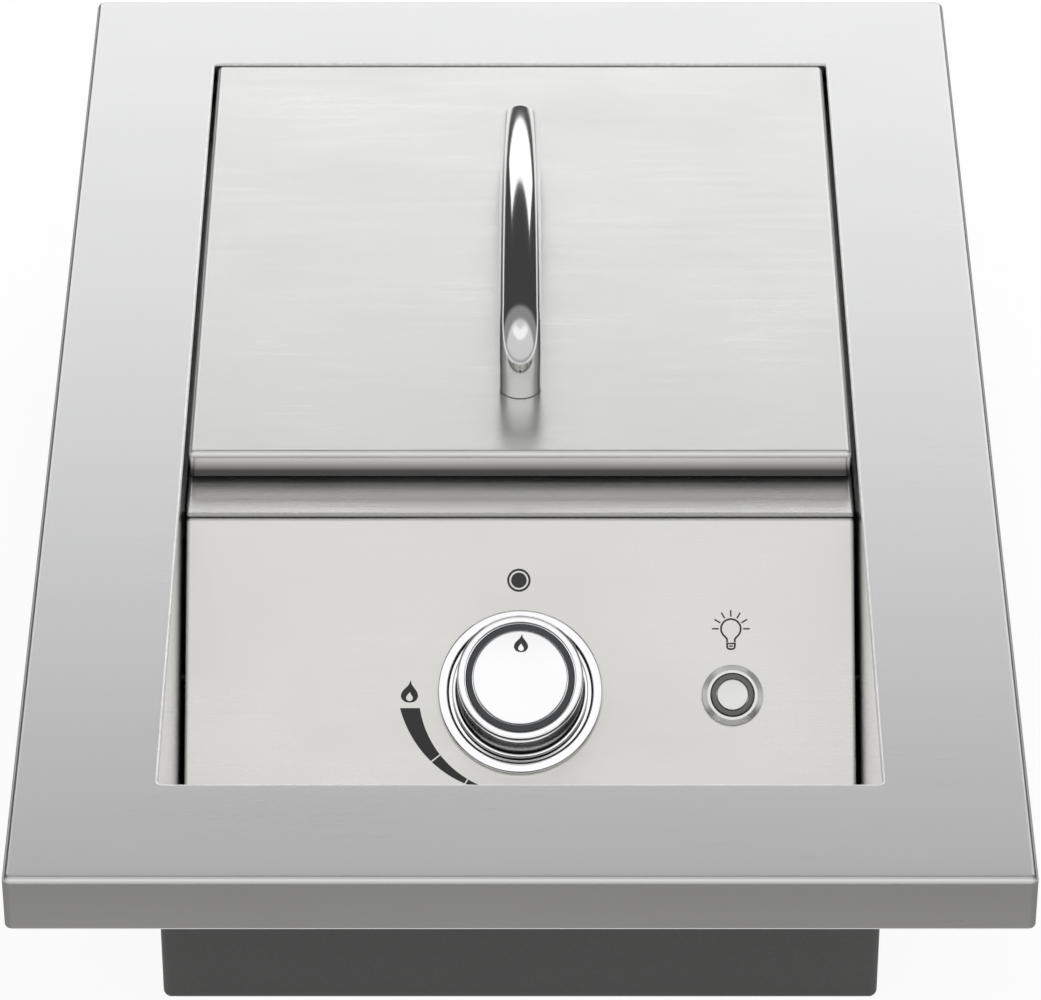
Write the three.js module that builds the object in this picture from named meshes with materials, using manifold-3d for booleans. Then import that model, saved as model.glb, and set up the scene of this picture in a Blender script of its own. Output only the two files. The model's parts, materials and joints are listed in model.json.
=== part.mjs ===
// A drop-in gas side burner: a folded steel trim with a deep well, a burner under a
// lift-off lid at the rear, and a sloping control panel sunk in the well at the front.
// Millimetres, +Z up, +Y to the rear. The origin is under the middle of the trim, at
// the height of the housing's base.

import * as THREE from "three";
import { mergeVertices } from "three/addons/utils/BufferGeometryUtils.js";
import Module from "manifold-3d";

const wasm = await Module();
wasm.setup();

// Fits and cutting
const seatGap = 0.3;
const screwPlay = 0.4;
const runningPlay = 0.35;
const overrun = 20;

// Trim: a flat top with an outer skirt, a hem to rest on the worktop, and the well's walls
const trimWidth = 368;
const trimLength = 587;
const trimHeight = 103;
const trimSheet = 0.8;
const trimEdge = 2.5;
const trimCorner = 3.2;
const skirtHeight = 23.5;
const hemWidth = 12;
const sideBorder = 53;
const rearBorder = 51.4;
const frontBorder = 53.4;
const wellCorner = 1.5;
const wellEdge = 1;

// Housing: the closed outer box under the trim
const housingSheet = 0.6;
const housingCorner = 3;
const ventLength = 44;
const ventWidth = 5;
const ventPitch = 14;
const ventCount = 5;
const ventRowShift = 78;
const housingScrewPitch = 290;
const housingScrewInset = 44;
const housingScrewHeight = 34;
const housingScrewShank = 2;
const housingScrewHead = 4.2;
const housingScrewHeadHeight = 2;
const housingScrewReach = 4;

// Room left round the lid, the deck and the control panel in the well
const unitPlay = 1.5;
const unitRearPlay = 0.8;

// Deck: the plate round the burner, with a rim for the grate and a pressed basin
const deckDrop = 12.7;
const deckSheet = 1;
const deckEdge = 1.5;
const deckSkirt = 10;
const deckLip = 1;
const deckNotch = 12;
const rimMargin = 13.5;
const rimRearMargin = 25.3;
const rimFrontMargin = 46;
const rimCorner = 30;
const rimDepth = 6;
const shelfWidth = 9;
const basinDepth = 52.3;
const basinEdge = 3;

// Rails that carry the deck along both side walls
const railSheet = 1.4;
const railWidth = 12;
const railHeight = 14;
const railFrontInset = 16;
const railRearInset = 7.3;

// Lid
const ledgeDepth = 23;
const lidSheet = 1;
const lidEdge = 2.5;
const lidClearance = 2.5;
const linerSheet = 1;
const linerInset = 9;
const bumperLength = 18;
const bumperThickness = 3;
const bumperHeight = 8;

// Handle: one round bar bent into a low, slightly arched bail from front to rear
const handleRadius = 8.3;
const handleHeight = 34;
const handleBend = 17;
const handleArch = 280;
const handleFrontInset = 44.4;
const handleRearInset = 73.3;
const handleThread = 3;
const handleThreadDepth = 12;
const handleFlangeRadius = 7;
const handleFlangeHeight = 0.8;
const handleHeadRadius = 5;
const handleHeadHeight = 2.2;

// Control panel: a folded tray that slopes down to the front
const panelSlope = THREE.MathUtils.degToRad(43);
const panelStart = 0.6;
const panelLength = 114.6;
const panelSheet = 1.2;
const panelEdge = 2;
const panelSideSkirt = 12;
const panelTopSkirt = 3;
const panelFootSkirt = 8;
const panelHole = 8;
const bracketSheet = 1.5;
const bracketTop = 30;
const bracketFoot = 12;

// Knob, its bezel and the light ring under it
const knobAlong = 69.7;
const lightRingRadius = 30.6;
const lightRingBore = 28.4;
const lightRingHeight = 1.6;
const bezelRadius = 31.65;
const bezelWell = 27.75;
const bezelLift = 1.6;
const bezelFloor = 1;
const bezelHeight = 2.6;
const bezelBore = 12;
const bezelRound = 1;
const knobLift = 5.4;
const knobBase = 26.2;
const knobBaseHeight = 2.6;
const knobWaist = 22.6;
const knobTop = 24;
const knobHeight = 41.3;
const knobRimHeight = 4.5;
const knobRound = 1.2;
const knobWall = 3;
const grooveOuter = 21.05;
const grooveInner = 18.25;
const grooveDepth = 1.6;
const capRise = 0.3;
const capThickness = 1.6;
const hubRadius = 11;
const hubHeight = 22;
const stemRadius = 3;
const stemFlat = 1.8;
const stemReach = 22;
const knobPush = 2.5;

// Valve behind the panel
const valveFlangeWidth = 44;
const valveFlangeLength = 22;
const valveFlangeSheet = 2;
const valveScrewPitch = 34;
const valveScrewShank = 2;
const valveScrewHead = 3.6;
const valveScrewHeadHeight = 1;
const valveRadius = 12;
const valveLength = 29;
const valveCup = 10;
const valveCupRadius = 8;
const washerRadius = 7;
const washerHeight = 1;
const springRadius = 6;
const springWire = 1.1;
const springCoils = 3;
const springHeight = 5;
const portRadius = 6.5;
const portReach = 16;
const portDepth = 20;

// Light button on the panel
const buttonInset = 47.7;
const buttonAlong = 70.8;
const switchRing = 11.85;
const switchRingHeight = 2;
const switchBore = 8.7;
const switchBarrel = 9.3;
const switchLength = 18;
const switchNutRadius = 13;
const switchNutHeight = 3;
const switchNutDrop = 0.6;
const buttonRing = 8.4;
const buttonDisc = 6.15;
const buttonHeight = 2.2;
const buttonSkirt = 4;
const buttonPush = 1.5;
const switchFloor = 8;
const terminalWidth = 2.8;
const terminalThickness = 0.8;
const terminalLength = 6;
const terminalPitch = 5;

// Burner on the basin's floor
const bowlRadius = 40;
const bowlWall = 3;
const bowlLift = 4;
const bowlHeight = 20;
const throatHeight = 12;
const tubeRadius = 9;
const socketWall = 2.5;
const tubeWall = 1.2;
const tubeInset = 18;
const bellRadius = 12;
const bellLength = 9;
const socketReach = 14;
const headRadius = 46;
const headBore = 20;
const headHeight = 10;
const portCount = 24;
const flamePortWidth = 2.4;
const flamePortDepth = 5;
const capRadius = 44;
const capHeight = 5.4;
const capEdge = 1.6;
const capPlug = 17;
const capPlugDepth = 4;
const strapWidth = 18;
const strapLength = 112;
const strapSheet = 1.6;
const strapPad = 6;
const strapScrewAcross = 46;
const strapScrewShank = 2;
const strapScrewHead = 4;
const strapScrewHeadHeight = 2;
const strapScrewReach = 5;

// Air shutter and jet
const shutterLength = 10;
const shutterWall = 1;
const jetRadius = 4;
const jetLength = 12;
const jetBore = 0.8;
const jetTip = 2.2;
const jetTipLength = 6;
const jetNut = 7;
const jetNutLength = 6;
const jetPlateWidth = 34;
const jetPlateSheet = 1.6;
const jetPlateFoot = 14;
const jetPlateRise = 12;
const jetInset = 5;

// Gas pipes and the inlet fitting
const feedRadius = 4;
const feedWall = 1;
const pipeRadius = 5;
const pipeWall = 1;
const pipeAcross = 50;
const pipeHeight = 20;
const pipeTurnReach = 6;
const inletReach = 22;
const inletRadius = 8;
const inletBore = 4.5;
const inletNut = 13;
const inletNutHeight = 5;
const inletInside = 14;

// Igniter
const electrodeAcross = -37;
const electrodeBack = 37;
const electrodeRadius = 3;
const electrodeDrop = 8;
const electrodeRise = 32;
const electrodeCollar = 5;
const electrodeCollarHeight = 3;
const pinRadius = 1;
const pinRise = 7;
const pinDepth = 8;
const clipSheet = 1.2;
const clipWidth = 14;
const clipReach = 26;
const moduleWidth = 58;
const moduleLength = 32;
const moduleHeight = 24;
const moduleInset = 43.5;
const moduleSetback = 26;
const moduleEdge = 2;
const moduleCorner = 3;
const wireRadius = 1.5;
const wireStub = 6;
const wireDip = 9;

// Grate
const grateBar = 8;
const grateHeight = 10;
const grateCorner = 22;
const grateClear = 1.5;
const grateFingers = 4;
const fingerReach = 64;

// Shapes of small parts, as shares of their sizes
const headRoundShare = 0.8;
const headShoulderShare = 0.82;
const headRiseShare = 0.7;
const headCrownShare = 0.4;
const slotEndShare = 0.48;
const clipStandShare = 0.8;

// Roundness of curved faces
const roundSides = 30;
const smallSides = 12;
const wireSides = 8;
const bendSteps = 3;
const cornerSteps = 2;
const springSteps = 14;
const knobSteps = 7;
const handleSteps = 40;
const handleSides = 16;
const pipeSteps = 12;
const gasPipeSteps = 18;

// Widths, heights and places that follow from the sizes above
const wellWidth = trimWidth - sideBorder * 2;
const wellLength = trimLength - rearBorder - frontBorder;
const wellShift = (frontBorder - rearBorder) / 2;
const wellRear = wellShift + wellLength / 2;
const unitWidth = wellWidth - unitPlay * 2;
const deckRear = wellRear - unitRearPlay;
const rimSize = unitWidth - rimMargin * 2;
const deckLength = rimRearMargin + rimSize + rimFrontMargin;
const deckFront = deckRear - deckLength;
const burnerY = deckRear - rimRearMargin - rimSize / 2;
const railFront = deckFront + railFrontInset;
const railRear = deckRear - railRearInset;
const lidFront = deckFront + ledgeDepth;
const handleFront = lidFront + handleFrontInset;
const handleRear = deckRear - handleRearInset;
const buttonAcross = unitWidth / 2 - buttonInset;
const tubeFront = deckFront + tubeInset;
const jetY = deckFront + jetInset;
const pipeTurn = deckFront - pipeTurnReach;
const moduleAcross = moduleInset - unitWidth / 2;
const moduleY = deckFront + moduleSetback;
const housingScrewRear = deckRear - housingScrewInset;
const deckTop = trimHeight - deckDrop;
const basinFloor = deckTop - basinDepth;
const shelfTop = deckTop - rimDepth;
const basinSize = rimSize - shelfWidth * 2;
const basinCorner = rimCorner - shelfWidth;
const housingInside = wellWidth + (trimSheet + seatGap) * 2;
const housingInsideLength = wellLength + (trimSheet + seatGap) * 2;
const housingWidth = housingInside + housingSheet * 2;
const housingLength = housingInsideLength + housingSheet * 2;
const floorTop = housingSheet;
const wallFoot = floorTop + seatGap;
const burnerAxis = basinFloor + throatHeight;
const bowlFloor = basinFloor + bowlLift;
const headFoot = bowlFloor + bowlHeight + seatGap;
const capFoot = headFoot + headHeight + seatGap;
const electrodeBottom = basinFloor - electrodeDrop;
const electrodeTop = basinFloor + electrodeRise;
const pinTop = electrodeTop + pinRise;
const lidCentre = (lidFront + deckRear) / 2;
const lidLength = deckRear - lidFront;
const lidFoot = deckTop + seatGap;
const lidRim = deckTop + lidClearance;
const linerTop = trimHeight - lidSheet - seatGap;
const panelFootAlong = panelStart + panelLength;
const valveTop = -panelSheet - seatGap * 2 - valveFlangeSheet;
const washerTop = valveTop - seatGap;
const handlePlaces = [handleFront, handleRear];
const handleHole = handleThread + screwPlay;

// Materials
function metal(color, roughness, metalness = 1) {
  return new THREE.MeshStandardMaterial({ color, roughness, metalness });
}
const brushedSteel = () => metal(0xd9d8d4, 0.35);
const polishedSteel = () => metal(0xf2f2f2, 0.08);
const plainSteel = () => metal(0xb8b8b5, 0.45);
const darkSteel = () => metal(0x464745, 0.7, 0.2);
const castIron = () => metal(0x222222, 0.75, 0.3);
const castAluminium = () => metal(0xb5b7b8, 0.5);
const brass = () => metal(0xc2a14d, 0.35);
const ceramic = () => metal(0xeae6dc, 0.4, 0);
const blackPlastic = () => metal(0x1c1c1c, 0.5, 0);
const softSilicone = () => metal(0x3a3a3a, 0.8, 0);
const lampPlastic = () => metal(0xcfd3d6, 0.3, 0);
const ringPlastic = () => metal(0x3a3f44, 0.2, 0);

// Closed solids from geometry

// Six times the volume that a geometry encloses: its sign shows which way it faces.
function signedVolume(geometry) {
  const place = geometry.getAttribute("position");
  const order = geometry.getIndex().array;
  const a = new THREE.Vector3();
  const b = new THREE.Vector3();
  const c = new THREE.Vector3();
  let total = 0;
  for (let i = 0; i < order.length; i += 3) {
    a.fromBufferAttribute(place, order[i]);
    b.fromBufferAttribute(place, order[i + 1]);
    c.fromBufferAttribute(place, order[i + 2]);
    total += a.dot(b.cross(c));
  }
  return total;
}

function solid(geometry) {
  const bare = geometry.clone();
  bare.deleteAttribute("normal");
  bare.deleteAttribute("uv");
  const merged = mergeVertices(bare);
  const triVerts = Uint32Array.from(merged.getIndex().array);
  if (signedVolume(merged) < 0) triVerts.reverse();
  const vertProperties = Float32Array.from(merged.getAttribute("position").array);
  return new wasm.Manifold(new wasm.Mesh({ numProp: 3, vertProperties, triVerts }));
}

function union(pieces) {
  return pieces.reduce((whole, next) => whole.add(next));
}

function cut(whole, cutters) {
  return cutters.reduce((left, cutter) => left.subtract(cutter), whole);
}

// A plain block, centred on x and y, standing on z.
function block(width, length, height, x = 0, y = 0, z = 0) {
  const geometry = new THREE.BoxGeometry(width, length, height);
  geometry.translate(x, y, z + height / 2);
  return solid(geometry);
}

// A round bar along Z, standing on z.
function post(radius, height, x = 0, y = 0, z = 0, sides = smallSides) {
  const geometry = new THREE.CylinderGeometry(radius, radius, height, sides);
  geometry.rotateX(Math.PI / 2);
  geometry.translate(x, y, z + height / 2);
  return solid(geometry);
}

// A round bar along X or Y, starting at the given place.
function bar(direction, radius, length, x, y, z, sides = smallSides) {
  const geometry = new THREE.CylinderGeometry(radius, radius, length, sides);
  geometry.translate(0, length / 2, 0);
  if (direction === "x") geometry.rotateZ(-Math.PI / 2);
  geometry.translate(x, y, z);
  return solid(geometry);
}

// A profile of [radius, height] points turned about Z.
function turned(profile, x = 0, y = 0, z = 0, sides = roundSides) {
  const points = profile.map(([radius, height]) => new THREE.Vector2(radius, height));
  const geometry = new THREE.LatheGeometry(points, sides);
  geometry.rotateX(Math.PI / 2);
  geometry.translate(x, y, z);
  return solid(geometry);
}

function roundedOutline(width, length, corner) {
  const x = width / 2;
  const y = length / 2;
  const shape = new THREE.Shape();
  shape.absarc(x - corner, y - corner, corner, 0, Math.PI / 2);
  shape.absarc(corner - x, y - corner, corner, Math.PI / 2, Math.PI);
  shape.absarc(corner - x, corner - y, corner, Math.PI, Math.PI * 1.5);
  shape.absarc(x - corner, corner - y, corner, Math.PI * 1.5, Math.PI * 2);
  return shape;
}

// An upright block with round corners, standing on z.
function slab(width, length, height, corner, x = 0, y = 0, z = 0) {
  const outline = roundedOutline(width, length, corner);
  const geometry = new THREE.ExtrudeGeometry(outline, {
    depth: height, bevelEnabled: false, curveSegments: cornerSteps,
  });
  geometry.translate(x, y, z);
  return solid(geometry);
}

// The same with a rounded top edge.
function softSlab(width, length, height, corner, edge, x = 0, y = 0, z = 0) {
  const outline = roundedOutline(width, length, corner);
  const geometry = new THREE.ExtrudeGeometry(outline, {
    depth: height - edge, bevelEnabled: true, bevelThickness: edge, bevelSize: edge,
    bevelOffset: -edge, bevelSegments: bendSteps, curveSegments: cornerSteps,
  });
  geometry.translate(x, y, z);
  const below = block(width + overrun, length + overrun, overrun, x, y, z - overrun);
  return solid(geometry).subtract(below);
}

// A cutter with round corners whose mouth flares out at the top like a folded edge.
function flaredSlab(width, length, height, corner, edge, x = 0, y = 0, z = 0) {
  const outline = roundedOutline(width, length, corner);
  const geometry = new THREE.ExtrudeGeometry(outline, {
    depth: height - edge, bevelEnabled: true, bevelThickness: edge, bevelSize: -edge,
    bevelOffset: edge, bevelSegments: bendSteps, curveSegments: cornerSteps,
  });
  geometry.translate(x, y, z);
  return solid(geometry);
}

// A tray folded from sheet, open below, standing on z.
function foldedTray(width, length, height, sheet, edge, x, y, z) {
  const corner = edge + sheet / 2;
  const inside = Math.max(edge - sheet, sheet / 2);
  const outer = softSlab(width, length, height, corner, edge, x, y, z);
  const inner = softSlab(
    width - sheet * 2, length - sheet * 2, height - sheet + overrun,
    inside + sheet / 2, inside, x, y, z - overrun);
  return outer.subtract(inner);
}

// A straight-sided outline in the Y-Z plane, pushed along X from its own middle.
function sideProfile(points, width, x = 0) {
  const shape = new THREE.Shape(points.map(([y, z]) => new THREE.Vector2(y, z)));
  const geometry = new THREE.ExtrudeGeometry(shape, { depth: width, bevelEnabled: false });
  geometry.rotateY(Math.PI / 2);
  geometry.rotateX(Math.PI / 2);
  geometry.translate(x - width / 2, 0, 0);
  return solid(geometry);
}

function circleShape(radius, bore, sides) {
  const shape = new THREE.Shape();
  const spots = (r) => Array.from({ length: sides }, (_, i) => {
    const angle = (i / sides) * Math.PI * 2;
    return new THREE.Vector2(Math.cos(angle) * r, Math.sin(angle) * r);
  });
  shape.setFromPoints(spots(radius));
  if (bore > 0) shape.holes.push(new THREE.Path().setFromPoints(spots(bore).reverse()));
  return shape;
}

// A tube or bar along a curve.
function tube(curve, radius, bore, sides, steps) {
  const geometry = new THREE.ExtrudeGeometry(circleShape(radius, bore, sides), {
    extrudePath: curve, steps, bevelEnabled: false,
  });
  return solid(geometry);
}

function smoothPath(points) {
  return new THREE.CatmullRomCurve3(points.map((p) => new THREE.Vector3(...p)), false, "centripetal");
}

function hexPrism(across, height, bore, x, y, z) {
  const nut = post(across / Math.cos(Math.PI / 6), height, x, y, z, 6);
  if (bore === 0) return nut;
  return nut.subtract(post(bore, height + overrun, x, y, z - overrun / 2, roundSides));
}

// A screw with a low domed head above z and a shank below it.
function domedScrew(head, headHeight, shank, reach) {
  return turned([
    [0, -reach], [shank, -reach], [shank, 0], [head, 0],
    [head * headShoulderShare, headHeight * headRiseShare],
    [head * headCrownShare, headHeight], [0, headHeight],
  ], 0, 0, 0, smallSides);
}

const burner = new THREE.Group();
const panelGroup = new THREE.Group();
panelGroup.position.set(0, deckFront, deckTop);
panelGroup.rotation.x = panelSlope;
burner.add(panelGroup);

function piece(name, shape, material, parent = burner) {
  const { vertProperties, triVerts } = shape.getMesh();
  const geometry = new THREE.BufferGeometry();
  geometry.setAttribute("position", new THREE.BufferAttribute(new Float32Array(vertProperties), 3));
  geometry.setIndex(new THREE.BufferAttribute(new Uint32Array(triVerts), 1));
  geometry.computeVertexNormals();
  const mesh = new THREE.Mesh(geometry, material);
  mesh.name = name;
  parent.add(mesh);
  return mesh;
}

// Where a point of the sloping panel lies: across, along the slope, and out of the face.
function onSlope(across, along, out) {
  const y = deckFront - along * Math.cos(panelSlope) - out * Math.sin(panelSlope);
  const z = deckTop - along * Math.sin(panelSlope) + out * Math.cos(panelSlope);
  return [across, y, z];
}

// Trim
function makeTrim() {
  const skirtFoot = trimHeight - skirtHeight;
  const inside = trimEdge - trimSheet;
  const shell = softSlab(trimWidth, trimLength, skirtHeight, trimCorner, trimEdge, 0, 0, skirtFoot);
  const hollow = softSlab(
    trimWidth - trimSheet * 2, trimLength - trimSheet * 2, skirtHeight - trimSheet * 2,
    trimCorner - trimSheet, inside, 0, 0, skirtFoot + trimSheet);
  const mouth = block(
    trimWidth - (trimSheet + hemWidth) * 2, trimLength - (trimSheet + hemWidth) * 2,
    skirtHeight / 2, 0, 0, skirtFoot - trimSheet);
  const walls = slab(
    wellWidth + trimSheet * 2, wellLength + trimSheet * 2, trimHeight - trimSheet - wallFoot,
    wellCorner + trimSheet, 0, wellShift, wallFoot);
  const well = flaredSlab(
    wellWidth, wellLength, trimHeight + overrun, wellCorner, wellEdge, 0, wellShift, -overrun);
  const holes = housingScrewPlaces().map(([side, y]) => bar(
    "x", housingScrewShank + screwPlay, overrun, side * wellWidth / 2 - overrun / 2, y,
    housingScrewHeight));
  const inletHole = bar(
    "y", inletRadius + screwPlay, overrun, pipeAcross, wellRear - overrun / 2, pipeHeight);
  return cut(union([cut(shell, [hollow, mouth]), walls]), [well, ...holes, inletHole]);
}

function housingScrewPlaces() {
  const places = [];
  for (const side of [-1, 1]) {
    for (const y of [housingScrewRear - housingScrewPitch, housingScrewRear]) places.push([side, y]);
  }
  return places;
}

// Housing
function makeHousing() {
  const height = trimHeight - trimSheet - seatGap;
  const shell = slab(housingWidth, housingLength, height, housingCorner, 0, wellShift, 0);
  const inside = slab(
    housingInside, housingInsideLength, height, housingCorner - housingSheet,
    0, wellShift, floorTop);
  const vents = [];
  for (const row of [-1, 1]) {
    for (let i = 0; i < ventCount; i += 1) {
      const y = burnerY + (i - (ventCount - 1) / 2) * ventPitch;
      vents.push(slab(
        ventLength, ventWidth, overrun, ventWidth * slotEndShare, row * ventRowShift, y, -overrun / 2));
    }
  }
  const holes = housingScrewPlaces().map(([side, y]) => bar(
    "x", housingScrewShank + screwPlay, overrun, side * housingWidth / 2 - overrun / 2, y,
    housingScrewHeight));
  const inletHole = bar(
    "y", inletRadius + screwPlay, overrun, pipeAcross, wellRear - overrun / 2, pipeHeight);
  return cut(shell, [inside, ...vents, ...holes, inletHole]);
}

function makeHousingScrew([side, y]) {
  const screw = domedScrew(
    housingScrewHead, housingScrewHeadHeight, housingScrewShank, housingScrewReach);
  return screw.rotate([0, side * 90, 0]).translate([
    side * (housingWidth / 2 + seatGap), y, housingScrewHeight]);
}

// Deck and basin
function makeDeck() {
  const length = deckRear - deckFront;
  const centre = (deckRear + deckFront) / 2;
  const tray = foldedTray(
    unitWidth, length, deckSkirt, deckSheet, deckEdge, 0, centre, deckTop - deckSkirt);
  const lipCut = block(
    unitWidth + overrun, deckNotch + overrun, deckSkirt, 0, deckFront + (deckNotch - overrun) / 2,
    deckTop - deckLip - deckSkirt);
  const rimOuter = slab(
    rimSize + deckSheet * 2, rimSize + deckSheet * 2, rimDepth + deckSheet / 2,
    rimCorner + deckSheet, 0, burnerY, shelfTop - deckSheet);
  const basinOuter = softSlab(
    basinSize + deckSheet * 2, basinSize + deckSheet * 2, basinDepth - rimDepth + deckSheet,
    basinCorner + deckSheet, basinEdge, 0, 0, 0);
  const basinInner = softSlab(
    basinSize, basinSize, basinDepth - rimDepth + overrun, basinCorner, basinEdge - deckSheet,
    0, 0, 0);
  const turnOver = (shape, foot) => shape.rotate([180, 0, 0]).translate([0, burnerY, foot]);
  const rimInner = slab(
    rimSize, rimSize, rimDepth + overrun, rimCorner, 0, burnerY, shelfTop);
  const outerBasin = turnOver(basinOuter, shelfTop);
  const innerBasin = turnOver(basinInner, shelfTop + overrun);
  const tubeHole = bar(
    "y", tubeRadius + screwPlay, overrun * 2, 0, burnerY - basinSize / 2 - overrun, burnerAxis,
    roundSides);
  const electrodeHole = post(
    electrodeRadius + screwPlay, overrun, electrodeAcross, burnerY - electrodeBack,
    basinFloor - overrun / 2);
  const screwHoles = [-1, 1].map((side) => post(
    strapScrewShank + screwPlay, overrun, side * strapScrewAcross, burnerY,
    basinFloor - overrun / 2));
  const plate = tray.subtract(lipCut);
  return cut(
    union([plate, rimOuter, outerBasin]),
    [rimInner, innerBasin, tubeHole, electrodeHole, ...screwHoles]);
}

function makeRail(side) {
  const length = railRear - railFront;
  const centre = (railRear + railFront) / 2;
  const wall = wellWidth / 2 - seatGap;
  const top = deckTop - deckSkirt - seatGap;
  const leg = block(
    railSheet, length, railHeight, side * (wall - railSheet / 2), centre, top - railHeight);
  const shelf = block(
    railWidth, length, railSheet, side * (wall - railWidth / 2), centre, top - railSheet);
  return leg.add(shelf);
}

// Lid
function makeLid() {
  const tray = foldedTray(
    unitWidth, lidLength, trimHeight - lidRim, lidSheet, lidEdge, 0, lidCentre, lidRim);
  const holes = handlePlaces.map((y) => post(handleHole, overrun, 0, y, linerTop));
  return cut(tray, holes);
}

function makeLidLiner() {
  const sheet = slab(
    unitWidth - (lidSheet + linerInset) * 2, lidLength - (lidSheet + linerInset) * 2, linerSheet,
    linerInset, 0, lidCentre, linerTop - linerSheet);
  return cut(sheet, handlePlaces.map((y) => post(handleHole, overrun, 0, y, linerTop - overrun / 2)));
}

function makeLidBumper(side, end) {
  const x = unitWidth / 2 - lidSheet - seatGap - bumperThickness / 2;
  const reach = lidLength / 2 - linerInset - bumperLength;
  return block(
    bumperThickness, bumperLength, bumperHeight, side * x, lidCentre + end * reach, lidFoot);
}

function makeHandle() {
  const foot = trimHeight + seatGap;
  const top = trimHeight + handleHeight;
  const middle = (handleFront + handleRear) / 2;
  const reach = (handleRear - handleFront) / 2 - handleBend;
  const inside = handleArch - handleBend;
  const tilt = Math.asin(reach / inside);
  const bendHeight = top - handleArch + Math.cos(tilt) * inside;
  const at = (y, z) => new THREE.Vector3(0, y, z);
  const path = new THREE.CurvePath();
  const turn = (centreY, centreZ, radius, start, end) => {
    const arc = new THREE.Curve();
    arc.getPoint = (t) => {
      const angle = start + (end - start) * t;
      return at(centreY + Math.cos(angle) * radius, centreZ + Math.sin(angle) * radius);
    };
    return arc;
  };
  const upright = Math.PI / 2;
  path.add(new THREE.LineCurve3(at(handleFront, foot), at(handleFront, bendHeight)));
  path.add(turn(middle - reach, bendHeight, handleBend, Math.PI, upright + tilt));
  path.add(turn(middle, top - handleArch, handleArch, upright + tilt, upright - tilt));
  path.add(turn(middle + reach, bendHeight, handleBend, upright - tilt, 0));
  path.add(new THREE.LineCurve3(at(handleRear, bendHeight), at(handleRear, foot)));
  const rod = tube(path, handleRadius, 0, handleSides, handleSteps);
  const bores = handlePlaces.map((y) => post(
    handleThread + screwPlay, handleThreadDepth, 0, y, foot - handleThreadDepth / 2));
  return cut(rod, bores);
}

// A screw with a washer face, driven up from under the lid into the handle's foot.
function makeHandleScrew(y) {
  const top = linerTop - linerSheet - seatGap;
  const reach = trimHeight + handleThreadDepth / 2 - seatGap - top;
  const head = handleHeadHeight;
  const face = handleHeadHeight + handleFlangeHeight;
  return turned([
    [0, 0], [handleHeadRadius * headRoundShare, 0], [handleHeadRadius, head / 2],
    [handleHeadRadius, head], [handleFlangeRadius, head], [handleFlangeRadius, face],
    [handleThread, face], [handleThread, face + reach], [0, face + reach],
  ], 0, y, top - face, smallSides);
}

// Grate
function makeGrate() {
  const size = rimSize - grateClear * 2;
  const foot = shelfTop + seatGap;
  const ring = slab(size, size, grateHeight, rimCorner - grateClear, 0, burnerY, foot)
    .subtract(slab(
      size - grateBar * 2, size - grateBar * 2, grateHeight * 2, grateCorner, 0, burnerY,
      foot - grateHeight / 2));
  const fingers = [];
  const reach = size / 2 - grateBar / 2;
  for (let i = 0; i < grateFingers; i += 1) {
    const angle = (i * 360) / grateFingers;
    const long = block(
      grateBar, fingerReach, grateHeight, 0, reach - fingerReach / 2, 0).rotate([0, 0, angle]);
    fingers.push(long.translate([0, burnerY, foot]));
  }
  return union([ring, ...fingers]);
}

// Burner
function makeBowl() {
  const cup = turned([
    [0, 0], [bowlRadius - bowlWall, 0], [bowlRadius, bowlWall], [bowlRadius, bowlHeight],
    [bowlRadius - bowlWall, bowlHeight], [bowlRadius - bowlWall, bowlWall], [0, bowlWall],
  ], 0, burnerY, bowlFloor);
  const socket = bar(
    "y", tubeRadius + socketWall, socketReach + bowlWall * 2, 0,
    burnerY - bowlRadius - socketReach + bowlWall, burnerAxis, roundSides);
  const inside = post(
    bowlRadius - bowlWall, bowlHeight, 0, burnerY, bowlFloor + bowlWall, roundSides);
  const bore = bar(
    "y", tubeRadius + seatGap, overrun * 2, 0, burnerY - bowlRadius - overrun,
    burnerAxis, roundSides);
  return cut(union([cup, socket]), [inside, bore]);
}

function makeBurnerTube() {
  const rear = burnerY - bowlRadius;
  const length = rear - tubeFront;
  const profile = [
    [bellRadius - tubeWall, 0], [bellRadius, 0], [tubeRadius, bellLength], [tubeRadius, length],
    [tubeRadius - tubeWall, length], [tubeRadius - tubeWall, bellLength],
    [bellRadius - tubeWall, 0],
  ];
  return turned(profile, 0, 0, 0, roundSides).rotate([-90, 0, 0]).translate([0, tubeFront, burnerAxis]);
}

function makeAirShutter() {
  const start = tubeFront + bellLength + shutterLength / 2;
  const sleeve = bar(
    "y", tubeRadius + seatGap + shutterWall, shutterLength, 0, start, burnerAxis, roundSides);
  const bore = bar(
    "y", tubeRadius + seatGap, shutterLength + overrun, 0, start - overrun / 2, burnerAxis,
    roundSides);
  return sleeve.subtract(bore);
}

function makeBurnerHead() {
  const ring = turned([
    [headBore, 0], [bowlRadius, 0], [headRadius, headHeight / 2], [headRadius, headHeight],
    [headBore, headHeight], [headBore, 0],
  ], 0, burnerY, headFoot);
  const ports = [];
  for (let i = 0; i < portCount; i += 1) {
    ports.push(block(
      flamePortWidth, headRadius * 2, flamePortDepth, 0, headRadius + headBore / 2,
      headHeight - flamePortDepth / 2)
      .rotate([0, 0, (i * 360) / portCount]).translate([0, burnerY, headFoot]));
  }
  return cut(ring, ports);
}

function makeBurnerCap() {
  return turned([
    [0, -capPlugDepth], [capPlug, -capPlugDepth], [capPlug, 0], [capRadius, 0],
    [capRadius, capHeight - capEdge * 2], [capRadius - capEdge, capHeight - capEdge],
    [capRadius / 2, capHeight], [0, capHeight],
  ], 0, burnerY, capFoot);
}

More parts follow.
